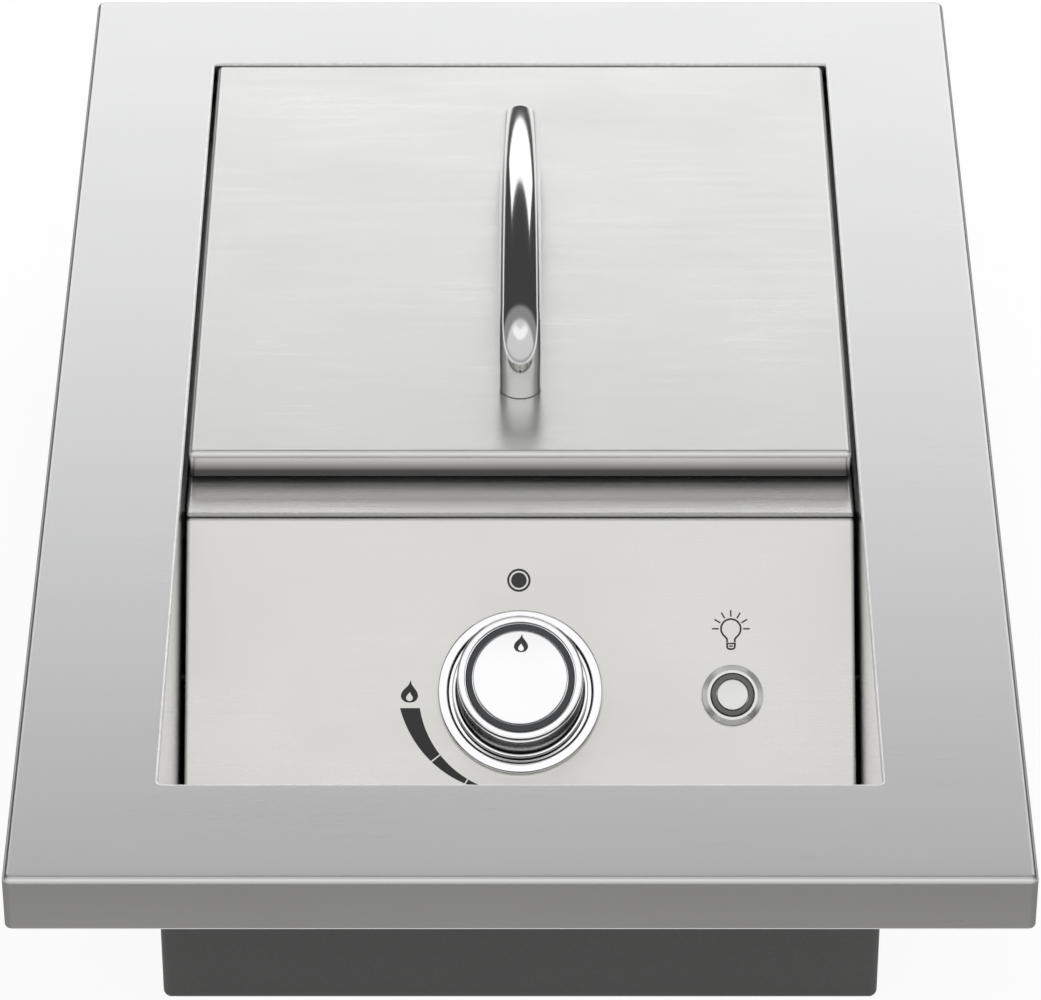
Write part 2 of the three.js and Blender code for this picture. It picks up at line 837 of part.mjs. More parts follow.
function makeBurnerStrap() {
  const flat = slab(
    strapLength, strapWidth, strapSheet, strapWidth * slotEndShare, 0, burnerY, basinFloor + seatGap);
  const padTop = bowlFloor - seatGap;
  const pad = block(
    bowlRadius, strapPad * 2, padTop - basinFloor - seatGap, 0, burnerY, basinFloor + seatGap);
  const holes = [-1, 1].map((side) => post(
    strapScrewShank + screwPlay, overrun, side * strapScrewAcross, burnerY,
    basinFloor - overrun / 2));
  return cut(union([flat, pad]), holes);
}

function makeStrapScrew(side) {
  return domedScrew(strapScrewHead, strapScrewHeadHeight, strapScrewShank, strapScrewReach)
    .translate([side * strapScrewAcross, burnerY, basinFloor + seatGap * 2 + strapSheet]);
}

// Jet and its plate
function makeJetPlate() {
  const top = burnerAxis + jetPlateRise;
  const upright = block(
    jetPlateWidth, jetPlateSheet, top - wallFoot, 0, jetY, wallFoot);
  const foot = block(
    jetPlateWidth, jetPlateFoot, jetPlateSheet, 0, jetY + jetPlateFoot / 2, wallFoot);
  const hole = bar("y", jetRadius + screwPlay, overrun, 0, jetY - overrun / 2, burnerAxis);
  return union([upright, foot]).subtract(hole);
}

function makeJet() {
  const nutStart = -jetPlateSheet / 2 - seatGap - jetNutLength;
  const front = -jetPlateSheet / 2 - seatGap;
  return turned([
    [jetBore, nutStart], [jetNut, nutStart], [jetNut, front], [jetRadius, front],
    [jetRadius, front + jetLength - jetTipLength], [jetTip, front + jetLength],
    [jetBore, front + jetLength], [jetBore, nutStart],
  ], 0, 0, 0, smallSides).rotate([-90, 0, 0]).translate([0, jetY, burnerAxis]);
}

function makeFeedPipe() {
  const start = knobAlong - valveRadius / 2 - portReach - seatGap;
  const leave = onSlope(0, start, -portDepth);
  const straight = onSlope(0, start - feedRadius, -portDepth);
  const end = jetY - jetPlateSheet / 2 - seatGap * 2 - jetNutLength;
  const path = smoothPath([
    leave, straight, [0, (straight[1] + end) / 2, (straight[2] + burnerAxis) / 2 + feedRadius / 2],
    [0, end - feedRadius, burnerAxis], [0, end, burnerAxis],
  ]);
  return tube(path, feedRadius, feedRadius - feedWall, smallSides, pipeSteps);
}

// Valve
function makeValveFlange() {
  const z = -panelSheet - seatGap - valveFlangeSheet;
  const plate = slab(
    valveFlangeWidth, valveFlangeLength, valveFlangeSheet, valveScrewHead, 0, -knobAlong, z);
  const holes = [-1, 1].map((side) => post(
    valveScrewShank + screwPlay, overrun, side * valveScrewPitch / 2, -knobAlong, z - overrun / 2));
  return cut(plate, [post(panelHole, overrun, 0, -knobAlong, z - overrun / 2), ...holes]);
}

function makeValveScrew(side) {
  return domedScrew(
    valveScrewHead, valveScrewHeadHeight, valveScrewShank,
    panelSheet + valveFlangeSheet + seatGap * 2)
    .translate([side * valveScrewPitch / 2, -knobAlong, seatGap]);
}

function makeValveBody() {
  const foot = valveTop - valveLength;
  const body = post(valveRadius, valveLength, 0, -knobAlong, foot, roundSides);
  const cup = post(valveCupRadius, valveCup + overrun, 0, -knobAlong, valveTop - valveCup);
  const bore = post(
    stemRadius + runningPlay, valveLength, 0, -knobAlong, foot + stemRadius * 2);
  const outlet = bar(
    "y", portRadius, portReach, 0, -knobAlong + valveRadius / 2, -portDepth);
  const outletBore = bar(
    "y", feedRadius - feedWall, overrun * 2, 0, -knobAlong, -portDepth);
  const inlet = bar("x", portRadius, portReach, valveRadius / 2, -knobAlong, -portDepth);
  const inletHole = bar("x", pipeRadius - pipeWall, overrun * 2, 0, -knobAlong, -portDepth);
  return cut(union([body, outlet, inlet]), [cup, bore, outletBore, inletHole]);
}

function makeThrustWasher() {
  const ring = post(washerRadius, washerHeight, 0, -knobAlong, washerTop - washerHeight, roundSides);
  return ring.subtract(post(
    stemRadius + runningPlay, overrun, 0, -knobAlong, washerTop - overrun / 2));
}

function makeReturnSpring() {
  const top = washerTop - washerHeight - seatGap - springWire / 2;
  const drop = springHeight - springWire;
  const helix = new THREE.Curve();
  helix.getPoint = (t) => {
    const angle = t * springCoils * Math.PI * 2;
    return new THREE.Vector3(
      Math.cos(angle) * springRadius, Math.sin(angle) * springRadius, top - t * drop);
  };
  const wire = tube(helix, springWire / 2, 0, wireSides, springCoils * springSteps);
  return wire.translate([0, -knobAlong, 0]);
}

// A round bar along Z with one flat at the given distance from its middle.
function flattedPost(radius, flat, height, z) {
  const start = -Math.asin(flat / radius);
  const shape = new THREE.Shape();
  shape.absarc(0, 0, radius, start, Math.PI - start);
  shape.closePath();
  const geometry = new THREE.ExtrudeGeometry(shape, {
    depth: height, bevelEnabled: false, curveSegments: smallSides,
  });
  geometry.translate(0, -knobAlong, z);
  return solid(geometry);
}

function makeStem() {
  const foot = valveTop - valveLength + stemRadius * 2 + knobPush + seatGap;
  const round = post(stemRadius, knobLift - foot, 0, -knobAlong, foot);
  return round.add(
    flattedPost(stemRadius, stemFlat, stemReach + stemRadius, knobLift - stemRadius));
}

// Bezel and knob
function makeLightRing() {
  return turned([
    [lightRingBore, 0], [lightRingRadius, 0], [lightRingRadius, lightRingHeight],
    [lightRingBore, lightRingHeight], [lightRingBore, 0],
  ], 0, -knobAlong, seatGap);
}

function makeBezel() {
  const step = lightRingHeight + seatGap * 2;
  const top = step + bezelHeight;
  const dish = lightRingBore - seatGap;
  const ring = turned([
    [bezelBore, bezelLift], [dish, bezelLift], [dish, step], [bezelRadius, step],
    [bezelRadius, top - bezelRound], [bezelRadius - bezelRound, top], [bezelWell + bezelRound, top],
    [bezelWell, top - bezelRound], [bezelWell, bezelLift + bezelFloor],
    [bezelBore, bezelLift + bezelFloor], [bezelBore, bezelLift],
  ], 0, -knobAlong);
  const spigot = post(bezelBore + bezelRound, bezelLift, 0, -knobAlong, seatGap, roundSides);
  return ring.add(spigot).subtract(post(bezelBore, overrun, 0, -knobAlong, -overrun / 2, roundSides));
}

// The knob's side from its base up: a flange, a drawn-in waist and a rounded rim.
function knobSide() {
  const side = [];
  const low = knobBaseHeight;
  const high = knobHeight - knobLift - knobRimHeight;
  for (let i = 0; i <= knobSteps; i += 1) {
    const t = i / knobSteps;
    const straight = knobBase - knobRound + (knobTop - knobBase + knobRound) * t;
    const waist = Math.sin(Math.PI * Math.sqrt(t)) * (knobTop - knobWaist);
    side.push([straight - waist, low + (high - low) * t]);
  }
  return side;
}

function makeKnobBody() {
  const height = knobHeight - knobLift;
  const grooveFloor = height - grooveDepth - capThickness;
  return turned([
    [hubRadius + seatGap, 0], [knobBase - knobRound, 0], [knobBase, knobRound],
    [knobBase, knobBaseHeight - knobRound / 2], ...knobSide(),
    [knobTop, height - knobRound], [knobTop - knobRound, height],
    [grooveOuter, height], [grooveOuter, grooveFloor], [0, grooveFloor],
    [0, grooveFloor - knobWall], [hubRadius + seatGap, grooveFloor - knobWall],
    [hubRadius + seatGap, 0],
  ].filter(([r]) => r >= 0), 0, -knobAlong, knobLift);
}

function makeGrooveRing() {
  const foot = knobHeight - grooveDepth - capThickness + seatGap;
  return turned([
    [grooveInner, 0], [grooveOuter - seatGap, 0], [grooveOuter - seatGap, capThickness],
    [grooveInner, capThickness], [grooveInner, 0],
  ], 0, -knobAlong, foot);
}

function makeKnobCap() {
  const foot = knobHeight - grooveDepth - capThickness + seatGap;
  const height = grooveDepth + capThickness - seatGap;
  const radius = grooveInner - seatGap;
  return turned([
    [0, 0], [radius, 0], [radius, height - capRise], [radius - capRise, height],
    [radius / 2, height + capRise / 2], [0, height + capRise],
  ], 0, -knobAlong, foot);
}

function makeKnobHub() {
  const sleeve = post(hubRadius, hubHeight, 0, -knobAlong, knobLift + knobRound, roundSides);
  return sleeve.subtract(flattedPost(
    stemRadius + seatGap, stemFlat + seatGap, stemReach + seatGap + overrun, knobLift - overrun));
}

// Light button
function atButton(shape) {
  return shape.translate([buttonAcross, -buttonAlong, 0]);
}

function makeSwitchBody() {
  const top = seatGap + switchRingHeight;
  const foot = -panelSheet - switchLength;
  const pins = [-1, 0, 1].map((step) => block(
    terminalWidth, terminalThickness, terminalLength * 2, 0, step * terminalPitch,
    foot - terminalLength));
  const barrel = turned([
    [0, foot], [switchBarrel, foot], [switchBarrel, seatGap], [switchRing, seatGap],
    [switchRing, top - capRise * 2], [switchRing - capRise * 2, top], [switchBore, top],
    [switchBore, -switchFloor], [0, -switchFloor],
  ]);
  return atButton(union([barrel, ...pins]));
}

function makeSwitchNut() {
  const z = -panelSheet - switchNutDrop - switchNutHeight;
  return atButton(hexPrism(switchNutRadius, switchNutHeight, switchBarrel + seatGap, 0, 0, z));
}

function makeButtonRing() {
  const top = seatGap + switchRingHeight + buttonHeight - buttonPush - capRise;
  return atButton(turned([
    [buttonDisc + seatGap / 2, top - buttonSkirt], [buttonRing, top - buttonSkirt],
    [buttonRing, top - capRise], [buttonRing - capRise, top], [buttonDisc + seatGap / 2, top],
    [buttonDisc + seatGap / 2, top - buttonSkirt],
  ]));
}

function makeButtonCap() {
  const top = seatGap + switchRingHeight + buttonHeight - buttonPush;
  const foot = top - buttonSkirt - capRise;
  return atButton(turned([
    [0, foot - capThickness], [buttonRing, foot - capThickness], [buttonRing, foot - seatGap],
    [buttonDisc - seatGap / 2, foot - seatGap], [buttonDisc - seatGap / 2, top - capRise],
    [buttonDisc - capRise * 2, top], [0, top + capRise / 2],
  ]));
}

// Control panel
function makePanel() {
  const centre = -panelStart - panelLength / 2;
  const tray = foldedTray(
    unitWidth, panelLength, panelSideSkirt, panelSheet, panelEdge, 0, centre, -panelSideSkirt);
  const topCut = block(
    unitWidth - (panelSheet + panelEdge) * 2, overrun, panelSideSkirt, 0, -panelStart,
    -panelTopSkirt - panelSideSkirt);
  const footCut = block(
    unitWidth - (panelSheet + panelEdge) * 2, overrun, panelSideSkirt, 0, -panelFootAlong,
    -panelFootSkirt - panelSideSkirt);
  const stemHole = post(panelHole, overrun, 0, -knobAlong, -overrun / 2);
  const screwHoles = [-1, 1].map((side) => post(
    valveScrewShank + screwPlay, overrun, side * valveScrewPitch / 2, -knobAlong, -overrun / 2));
  const switchHole = post(
    switchBarrel + seatGap, overrun, buttonAcross, -buttonAlong, -overrun / 2, roundSides);
  return cut(tray, [topCut, footCut, stemHole, ...screwHoles, switchHole]);
}

// Side brackets: upright plates that stand on the floor and hold the panel's folded sides.
function makePanelBracket(side) {
  const top = onSlope(0, bracketTop, -panelSheet - seatGap);
  const low = onSlope(0, panelFootAlong - panelSideSkirt - panelSheet * 3, -panelSheet - seatGap);
  const back = top[1] + bracketFoot;
  const x = unitWidth / 2 - panelSheet - seatGap - bracketSheet / 2;
  const plate = sideProfile([
    [low[1], wallFoot], [low[1], Math.max(low[2], wallFoot + bracketSheet)], [top[1], top[2]],
    [back, top[2] - bracketFoot / 2], [back, wallFoot],
  ], bracketSheet, side * x);
  const foot = block(
    bracketFoot, back - low[1], bracketSheet, side * (x - bracketFoot / 2),
    (back + low[1]) / 2, wallFoot);
  return plate.add(foot);
}

// Gas pipe from the rear inlet to the valve
function makeGasPipe() {
  const [endX, endY, endZ] = onSlope(
    valveRadius / 2 + portReach + seatGap, knobAlong, -portDepth);
  const start = wellRear - inletInside - seatGap;
  const path = smoothPath([
    [pipeAcross, start, pipeHeight], [pipeAcross, (start + pipeTurn) / 2, pipeHeight],
    [pipeAcross, pipeTurn, pipeHeight],
    [pipeAcross - pipeRadius * 2, (pipeTurn + endY) / 2 - pipeRadius, (pipeHeight + endZ) / 2],
    [endX + pipeRadius, endY, endZ], [endX, endY, endZ],
  ]);
  return tube(path, pipeRadius, pipeRadius - pipeWall, smallSides, gasPipeSteps);
}

function makeInlet() {
  const outside = wellRear + trimSheet + seatGap + housingSheet;
  const start = wellRear - inletInside;
  const barrel = bar(
    "y", inletRadius, outside + inletReach - start, pipeAcross, start, pipeHeight, roundSides);
  const flange = hexPrism(inletNut, inletNutHeight, 0, 0, 0, 0).rotate([-90, 0, 0]).translate([
    pipeAcross, outside + seatGap, pipeHeight]);
  const bore = bar(
    "y", inletBore, inletReach + overrun * 4, pipeAcross, start - overrun, pipeHeight);
  return union([barrel, flange]).subtract(bore);
}

function makeInletNut() {
  const inner = wellRear - seatGap;
  return hexPrism(inletNut, inletNutHeight, 0, 0, 0, 0).rotate([90, 0, 0])
    .translate([pipeAcross, inner, pipeHeight])
    .subtract(bar(
      "y", inletRadius + seatGap, overrun, pipeAcross, inner - overrun / 2, pipeHeight,
      roundSides));
}

// Igniter
function makeElectrode() {
  const y = burnerY - electrodeBack;
  const rod = post(
    electrodeRadius, electrodeTop - electrodeBottom, electrodeAcross, y, electrodeBottom);
  const collar = post(
    electrodeCollar, electrodeCollarHeight, electrodeAcross, y,
    basinFloor + seatGap);
  const bore = post(
    pinRadius + seatGap, pinDepth + overrun, electrodeAcross, y, electrodeTop - pinDepth);
  return union([rod, collar]).subtract(bore);
}

function makeElectrodePin() {
  return post(
    pinRadius, pinTop - electrodeTop + pinDepth - seatGap, electrodeAcross,
    burnerY - electrodeBack, electrodeTop - pinDepth + seatGap);
}

function makeElectrodeClip() {
  const y = burnerY - electrodeBack;
  const z = basinFloor + electrodeCollarHeight + seatGap * 2;
  const plate = slab(
    clipReach, clipWidth, clipSheet, clipWidth * slotEndShare, electrodeAcross + (clipReach - clipWidth) / -2,
    y, z);
  const stand = block(
    clipWidth / 2, clipWidth / 2, z - basinFloor, electrodeAcross - clipReach + clipWidth * clipStandShare,
    y, basinFloor + seatGap);
  return union([plate, stand]).subtract(post(
    electrodeRadius + seatGap, overrun, electrodeAcross, y, z - overrun / 2));
}

function makeSparkModule() {
  return softSlab(
    moduleWidth, moduleLength, moduleHeight, moduleCorner, moduleEdge, moduleAcross, moduleY,
    wallFoot);
}

function makeIgniterWire() {
  const y = burnerY - electrodeBack;
  const moduleRear = moduleY + moduleLength / 2 + seatGap;
  const z = wallFoot + moduleHeight / 2;
  const end = electrodeBottom - seatGap;
  const path = smoothPath([
    [moduleAcross, moduleRear, z], [moduleAcross, moduleRear + wireStub, z],
    [(moduleAcross + electrodeAcross) / 2, (moduleRear + y) / 2, z + wireStub / 2],
    [electrodeAcross, y - wireStub, end - wireDip], [electrodeAcross, y, end - wireStub],
    [electrodeAcross, y, end],
  ]);
  return tube(path, wireRadius, 0, wireSides, pipeSteps);
}

function makeLampWire() {
  const start = onSlope(
    buttonAcross, buttonAlong, -panelSheet - switchLength - seatGap * 2 - terminalLength);
  const first = onSlope(
    buttonAcross, buttonAlong,
    -panelSheet - switchLength - seatGap * 2 - terminalLength - wireStub / 2);
  const moduleEnd = moduleAcross + moduleWidth / 2 + seatGap;
  const z = wallFoot + moduleHeight / 3;
  const under = wallFoot + wireRadius * 2;
  const path = smoothPath([
    start, first, [pipeAcross + wireStub * 2, jetY + wireStub * 2, under],
    [pipeAcross, jetY + wireStub * 4, under], [0, jetY + wireStub * 5, under],
    [moduleEnd + wireStub * 2, moduleY, under + wireStub / 2], [moduleEnd + wireStub, moduleY, z],
    [moduleEnd, moduleY, z],
  ]);
  return tube(path, wireRadius, 0, wireSides, pipeSteps * 2);
}

const sideName = (side) => (side < 0 ? "left" : "right");

piece("trim_frame", makeTrim(), brushedSteel());
piece("housing_box", makeHousing(), darkSteel());
housingScrewPlaces().forEach((place) => {
  const [side, y] = place;
  const name = `housing_screw_${y < housingScrewRear ? "front" : "rear"}_${sideName(side)}`;
  piece(name, makeHousingScrew(place), plainSteel());
});
piece("burner_deck", makeDeck(), brushedSteel());
for (const side of [-1, 1]) {
  piece(`deck_rail_${sideName(side)}`, makeRail(side), plainSteel());
  piece(`panel_bracket_${sideName(side)}`, makePanelBracket(side), plainSteel());
  piece(`strap_screw_${sideName(side)}`, makeStrapScrew(side), plainSteel());
  piece(`valve_screw_${sideName(side)}`, makeValveScrew(side), plainSteel(), panelGroup);
  piece(`lid_bumper_front_${sideName(side)}`, makeLidBumper(side, -1), softSilicone());
  piece(`lid_bumper_rear_${sideName(side)}`, makeLidBumper(side, 1), softSilicone());
}
piece("control_panel", makePanel(), brushedSteel(), panelGroup);
piece("lid_panel", makeLid(), brushedSteel());
piece("lid_liner", makeLidLiner(), brushedSteel());
piece("lid_handle", makeHandle(), polishedSteel());
piece("handle_screw_front", makeHandleScrew(handleFront), plainSteel());
piece("handle_screw_rear", makeHandleScrew(handleRear), plainSteel());
piece("pot_grate", makeGrate(), castIron());
piece("burner_bowl", makeBowl(), castAluminium());
piece("burner_tube", makeBurnerTube(), plainSteel());
piece("air_shutter", makeAirShutter(), plainSteel());
piece("burner_head", makeBurnerHead(), castAluminium());
piece("burner_cap", makeBurnerCap(), castIron());
piece("burner_strap", makeBurnerStrap(), plainSteel());
piece("jet_plate", makeJetPlate(), plainSteel());
piece("gas_jet", makeJet(), brass());
piece("feed_pipe", makeFeedPipe(), plainSteel());
piece("valve_flange", makeValveFlange(), plainSteel(), panelGroup);
piece("valve_body", makeValveBody(), castAluminium(), panelGroup);
piece("thrust_washer", makeThrustWasher(), plainSteel(), panelGroup);
piece("return_spring", makeReturnSpring(), plainSteel(), panelGroup);
piece("valve_stem", makeStem(), brass(), panelGroup);
piece("knob_light_ring", makeLightRing(), lampPlastic(), panelGroup);
piece("knob_bezel", makeBezel(), polishedSteel(), panelGroup);
piece("knob_body", makeKnobBody(), polishedSteel(), panelGroup);
piece("knob_groove_ring", makeGrooveRing(), ringPlastic(), panelGroup);
piece("knob_cap", makeKnobCap(), polishedSteel(), panelGroup);
piece("knob_hub", makeKnobHub(), blackPlastic(), panelGroup);
piece("light_switch", makeSwitchBody(), polishedSteel(), panelGroup);
piece("switch_nut", makeSwitchNut(), plainSteel(), panelGroup);
piece("light_button_ring", makeButtonRing(), ringPlastic(), panelGroup);
piece("light_button", makeButtonCap(), polishedSteel(), panelGroup);
piece("gas_pipe", makeGasPipe(), plainSteel());
piece("gas_inlet", makeInlet(), brass());
piece("inlet_nut", makeInletNut(), brass());
piece("igniter_electrode", makeElectrode(), ceramic());
piece("electrode_pin", makeElectrodePin(), plainSteel());
piece("electrode_clip", makeElectrodeClip(), plainSteel());
piece("spark_module", makeSparkModule(), blackPlastic());
piece("igniter_wire", makeIgniterWire(), softSilicone());
piece("lamp_wire", makeLampWire(), softSilicone());

export default burner;
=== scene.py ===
import json
import math

import bmesh
import bpy
import numpy as np
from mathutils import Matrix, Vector


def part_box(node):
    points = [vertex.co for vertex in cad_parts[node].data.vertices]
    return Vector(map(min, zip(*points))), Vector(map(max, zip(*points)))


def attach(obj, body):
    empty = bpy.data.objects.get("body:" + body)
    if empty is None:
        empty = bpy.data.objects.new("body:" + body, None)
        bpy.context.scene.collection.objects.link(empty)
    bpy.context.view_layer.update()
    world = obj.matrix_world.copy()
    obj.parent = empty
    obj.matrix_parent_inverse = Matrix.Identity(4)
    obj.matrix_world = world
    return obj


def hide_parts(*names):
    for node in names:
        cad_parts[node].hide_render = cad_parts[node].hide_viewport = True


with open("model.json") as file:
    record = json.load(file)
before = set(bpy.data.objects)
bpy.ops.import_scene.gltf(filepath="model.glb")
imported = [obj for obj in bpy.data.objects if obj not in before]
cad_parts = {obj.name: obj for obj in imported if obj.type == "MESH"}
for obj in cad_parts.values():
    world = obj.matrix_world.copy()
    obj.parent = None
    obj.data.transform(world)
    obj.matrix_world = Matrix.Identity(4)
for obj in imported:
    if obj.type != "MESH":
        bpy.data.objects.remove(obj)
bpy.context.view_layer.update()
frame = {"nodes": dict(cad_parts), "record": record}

pi = math.pi
print("stage: frame loaded")

# Sizes below are in millimetres, and every mesh is made in metres from them.
unitSizes = dict(
    trimTop=103.0, trimWidth=368.0, trimLength=587.0, wellWidth=262.0, wellLength=482.2, wellShift=1.0,
    unitWidth=259.0, deckTop=90.3, deckFront=-62.0, deckRear=241.3, lidFront=-39.0,
    panelSlope=43.0, panelStart=0.6, panelLength=114.6, knobAlong=69.7, burnerY=100.0, basinFloor=38.0)
gap = 0.3
metre = 1000.0
# Turns are in degrees and the two weld reaches in metres. sideShare is the part of a normal along X from
# which a face counts as looking sideways, and straight is the bend in radians that a fillet passes over.
meshSizes = dict(sharpTurn=32.0, nodeTurn=34.0, flatTurn=1.5, bevelTurn=34.0, weld=2e-6, nodeWeld=4e-6,
                 nodeBevel=0.3, nodeBevelShare=0.12, pole=0.01, sideShare=0.72, straight=0.02)
nodeBody = {node: body for body, nodes in frame["record"]["behaviour"]["bodies"].items() for node in nodes}
nodeSlot = {row["node"]: row["material_slot"] for row in frame["record"]["subparts"]}
placesTaken = set()


# Meshes from arrays

def gridFaces(rows, cols, closed):
    # each face joins a point and its neighbour round the loop to the same two in the next loop
    a, b = np.meshgrid(np.arange(rows if closed else rows - 1), np.arange(cols), indexing="ij")
    c, d = (a + 1) % rows, (b + 1) % cols
    return np.stack([a * cols + b, a * cols + d, c * cols + d, c * cols + b], -1).reshape(-1, 4).tolist()


def meshPiece(name, parts, material, node=None, sharp=meshSizes["sharpTurn"], weighted=True, body="unit"):
    # parts is a list of (points in mm, faces); they become one piece, in a CAD node's place or on a body
    points, faces, start = [], [], 0
    for partPoints, partFaces in parts:
        flat = np.asarray(partPoints, float).reshape(-1, 3)
        points.append(flat)
        faces += [[v + start for v in face] for face in partFaces]
        start += len(flat)
    mesh = bpy.data.meshes.new(name)
    mesh.from_pydata((np.concatenate(points) / metre).tolist(), [], faces)
    work = bmesh.new()
    work.from_mesh(mesh)
    bmesh.ops.remove_doubles(work, verts=work.verts, dist=meshSizes["weld"])
    bmesh.ops.recalc_face_normals(work, faces=work.faces)
    work.to_mesh(mesh)
    work.free()
    mesh.materials.append(material)
    return finishPiece(name, mesh, node, sharp, weighted=weighted, body=body)


def addObject(name, data):
    item = bpy.data.objects.new(name, data)
    bpy.context.scene.collection.objects.link(item)
    return item


def finishPiece(name, mesh, node, sharp, bevel=None, weighted=True, body=None):
    mesh.shade_smooth()
    mesh.set_sharp_from_angle(angle=math.radians(sharp))
    piece = addObject(name, mesh)
    if bevel:
        edges = piece.modifiers.new("edges", "BEVEL")
        edges.width = bevel / metre
        edges.segments = 2
        edges.limit_method = "ANGLE"
        edges.angle_limit = math.radians(meshSizes["bevelTurn"])
        edges.harden_normals = False
    if weighted:
        evenShading(piece)
    brushUv(mesh)
    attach(piece, nodeBody.get(node, body))
    if node:
        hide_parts(node)
        placesTaken.add(node)
    return piece


def evenShading(piece):
    even = piece.modifiers.new("shading", "WEIGHTED_NORMAL")
    even.keep_sharp = True
    even.weight = 80


def brushUv(mesh):
    # u runs along the brushing: left to right, or along the length on faces that look sideways
    def read(items, key, count, kind=float):
        values = np.zeros((len(items), count), kind)
        items.foreach_get(key, values.ravel())
        return values

    layer = mesh.uv_layers[0] if mesh.uv_layers else mesh.uv_layers.new(name="brush")
    sizes = read(mesh.polygons, "loop_total", 1, int)[:, 0]
    facing = np.abs(np.repeat(read(mesh.polygons, "normal", 3), sizes, axis=0))
    at = read(mesh.vertices, "co", 3)[read(mesh.loops, "vertex_index", 1, int)[:, 0]]
    sideways = facing[:, 0] > meshSizes["sideShare"]
    up = facing[:, 2] > facing[:, 1]
    u = np.where(sideways, at[:, 1], at[:, 0])
    v = np.where(sideways, at[:, 2], np.where(up, at[:, 1], at[:, 2]))
    layer.data.foreach_set("uv", np.stack([u, v], -1).ravel())


def turned(points, angle):
    # flat points turned counter-clockwise about the origin
    return points @ np.array([[math.cos(angle), math.sin(angle)], [-math.sin(angle), math.cos(angle)]])


def fillet(points, steps=5):
    # a polyline of (x, y, radius): each corner with a radius becomes an arc that touches both sides
    points = [tuple(p) + (0.0,) * (3 - len(p)) for p in points]
    out = []
    for i, (x, y, radius) in enumerate(points):
        if radius <= 0 or i in (0, len(points) - 1):
            out.append((x, y))
            continue
        here = np.array([x, y])
        before, after = np.array(points[i - 1][:2]) - here, np.array(points[i + 1][:2]) - here
        before, after = before / np.linalg.norm(before), after / np.linalg.norm(after)
        half = math.acos(np.clip(before @ after, -1, 1)) / 2
        if half > pi / 2 - meshSizes["straight"]:
            out.append((x, y))
            continue
        reach = radius / math.tan(half)
        middle = here + (before + after) / np.linalg.norm(before + after) * radius / math.sin(half)
        start, end = here + before * reach - middle, here + after * reach - middle
        turn = math.atan2(start[0] * end[1] - start[1] * end[0], start @ end)
        out += [tuple(middle + turned(start, t)) for t in np.linspace(0, turn, steps + 1)]
    return np.array(out)


def raised(outline, z):
    # flat points given a height
    return np.column_stack([outline, np.full(len(outline), z)])


def oblong(x0, x1, y0, y1):
    # four corners, counter-clockwise
    return np.array([(x0, y0), (x1, y0), (x1, y1), (x0, y1)])


def roundedLoop(width, length, corner, z, centreX=0.0, centreY=0.0, turn=6, side=1):
    # four quarter circles joined by straight sides, counter-clockwise from the right
    bend = np.linspace(0, pi / 2, turn + 1)
    x, y = width / 2 - corner, length / 2 - corner
    loop = []
    quarters = [(x, y, 0), (-x, y, pi / 2), (-x, -y, pi), (x, -y, pi * 1.5)]
    for i, (cx, cy, start) in enumerate(quarters):
        quarter = np.stack([cx + np.cos(bend + start) * corner, cy + np.sin(bend + start) * corner], -1)
        nx, ny, nextStart = quarters[(i + 1) % 4]
        end = np.array([nx + math.cos(nextStart) * corner, ny + math.sin(nextStart) * corner])
        loop.append(quarter)
        t = np.linspace(0, 1, side + 1)[1:-1, None]
        loop.append(quarter[-1] * (1 - t) + end * t)
    return raised(np.concatenate(loop) + (centreX, centreY), z)


def sweptLoops(section, width, length, corner, least=0.02, lift=0.0, **where):
    # a section of (distance out, height) carried round a rectangle with rounded corners
    return [roundedLoop(width + 2 * x, length + 2 * x, max(corner + x, least), z + lift, **where)
            for x, z in section]


def stackLoops(loops, ring=False):
    # loops of equal count, one above the next; the ends are capped, or joined in a ring
    points = np.stack(loops)
    rows, cols = points.shape[:2]
    faces = gridFaces(rows, cols, ring)
    if not ring:
        faces += [list(range(cols))[::-1], list(range((rows - 1) * cols, rows * cols))]
    return points.reshape(-1, 3), faces


def prism(outline, low, high):
    # a flat outline raised from low to high
    return stackLoops([raised(outline, low), raised(outline, high)])


def lathe(profile, steps=128, centre=(0.0, 0.0, 0.0), ring=False):
    # a profile of (radius, height) turned about Z; one that starts on the axis needs no end faces
    angle = np.linspace(0, 2 * pi, steps, endpoint=False)
    circle = np.column_stack([np.cos(angle), np.sin(angle)])
    points, faces = stackLoops([raised(circle * radius, z) for radius, z in profile], ring)
    return points + centre, faces if ring or profile[0][0] else faces[:-2]


def rod(radius, low, high, steps=64, centre=(0.0, 0.0, 0.0)):
    return lathe([(0, low), (radius, low), (radius, high), (0, high)], steps, centre)


slope = math.radians(unitSizes["panelSlope"])
panelOrigin = np.array([0.0, unitSizes["deckFront"], unitSizes["deckTop"]])
panelAxes = np.array([[1, 0, 0], [0, math.cos(slope), math.sin(slope)],
                      [0, -math.sin(slope), math.cos(slope)]])


def onPanel(part, across=0.0, along=0.0):
    # from the panel's own axes (across, up the slope, out of its face) to the unit's
    points, faces = part
    return (points + np.array([across, -along, 0.0])) @ panelAxes + panelOrigin, faces


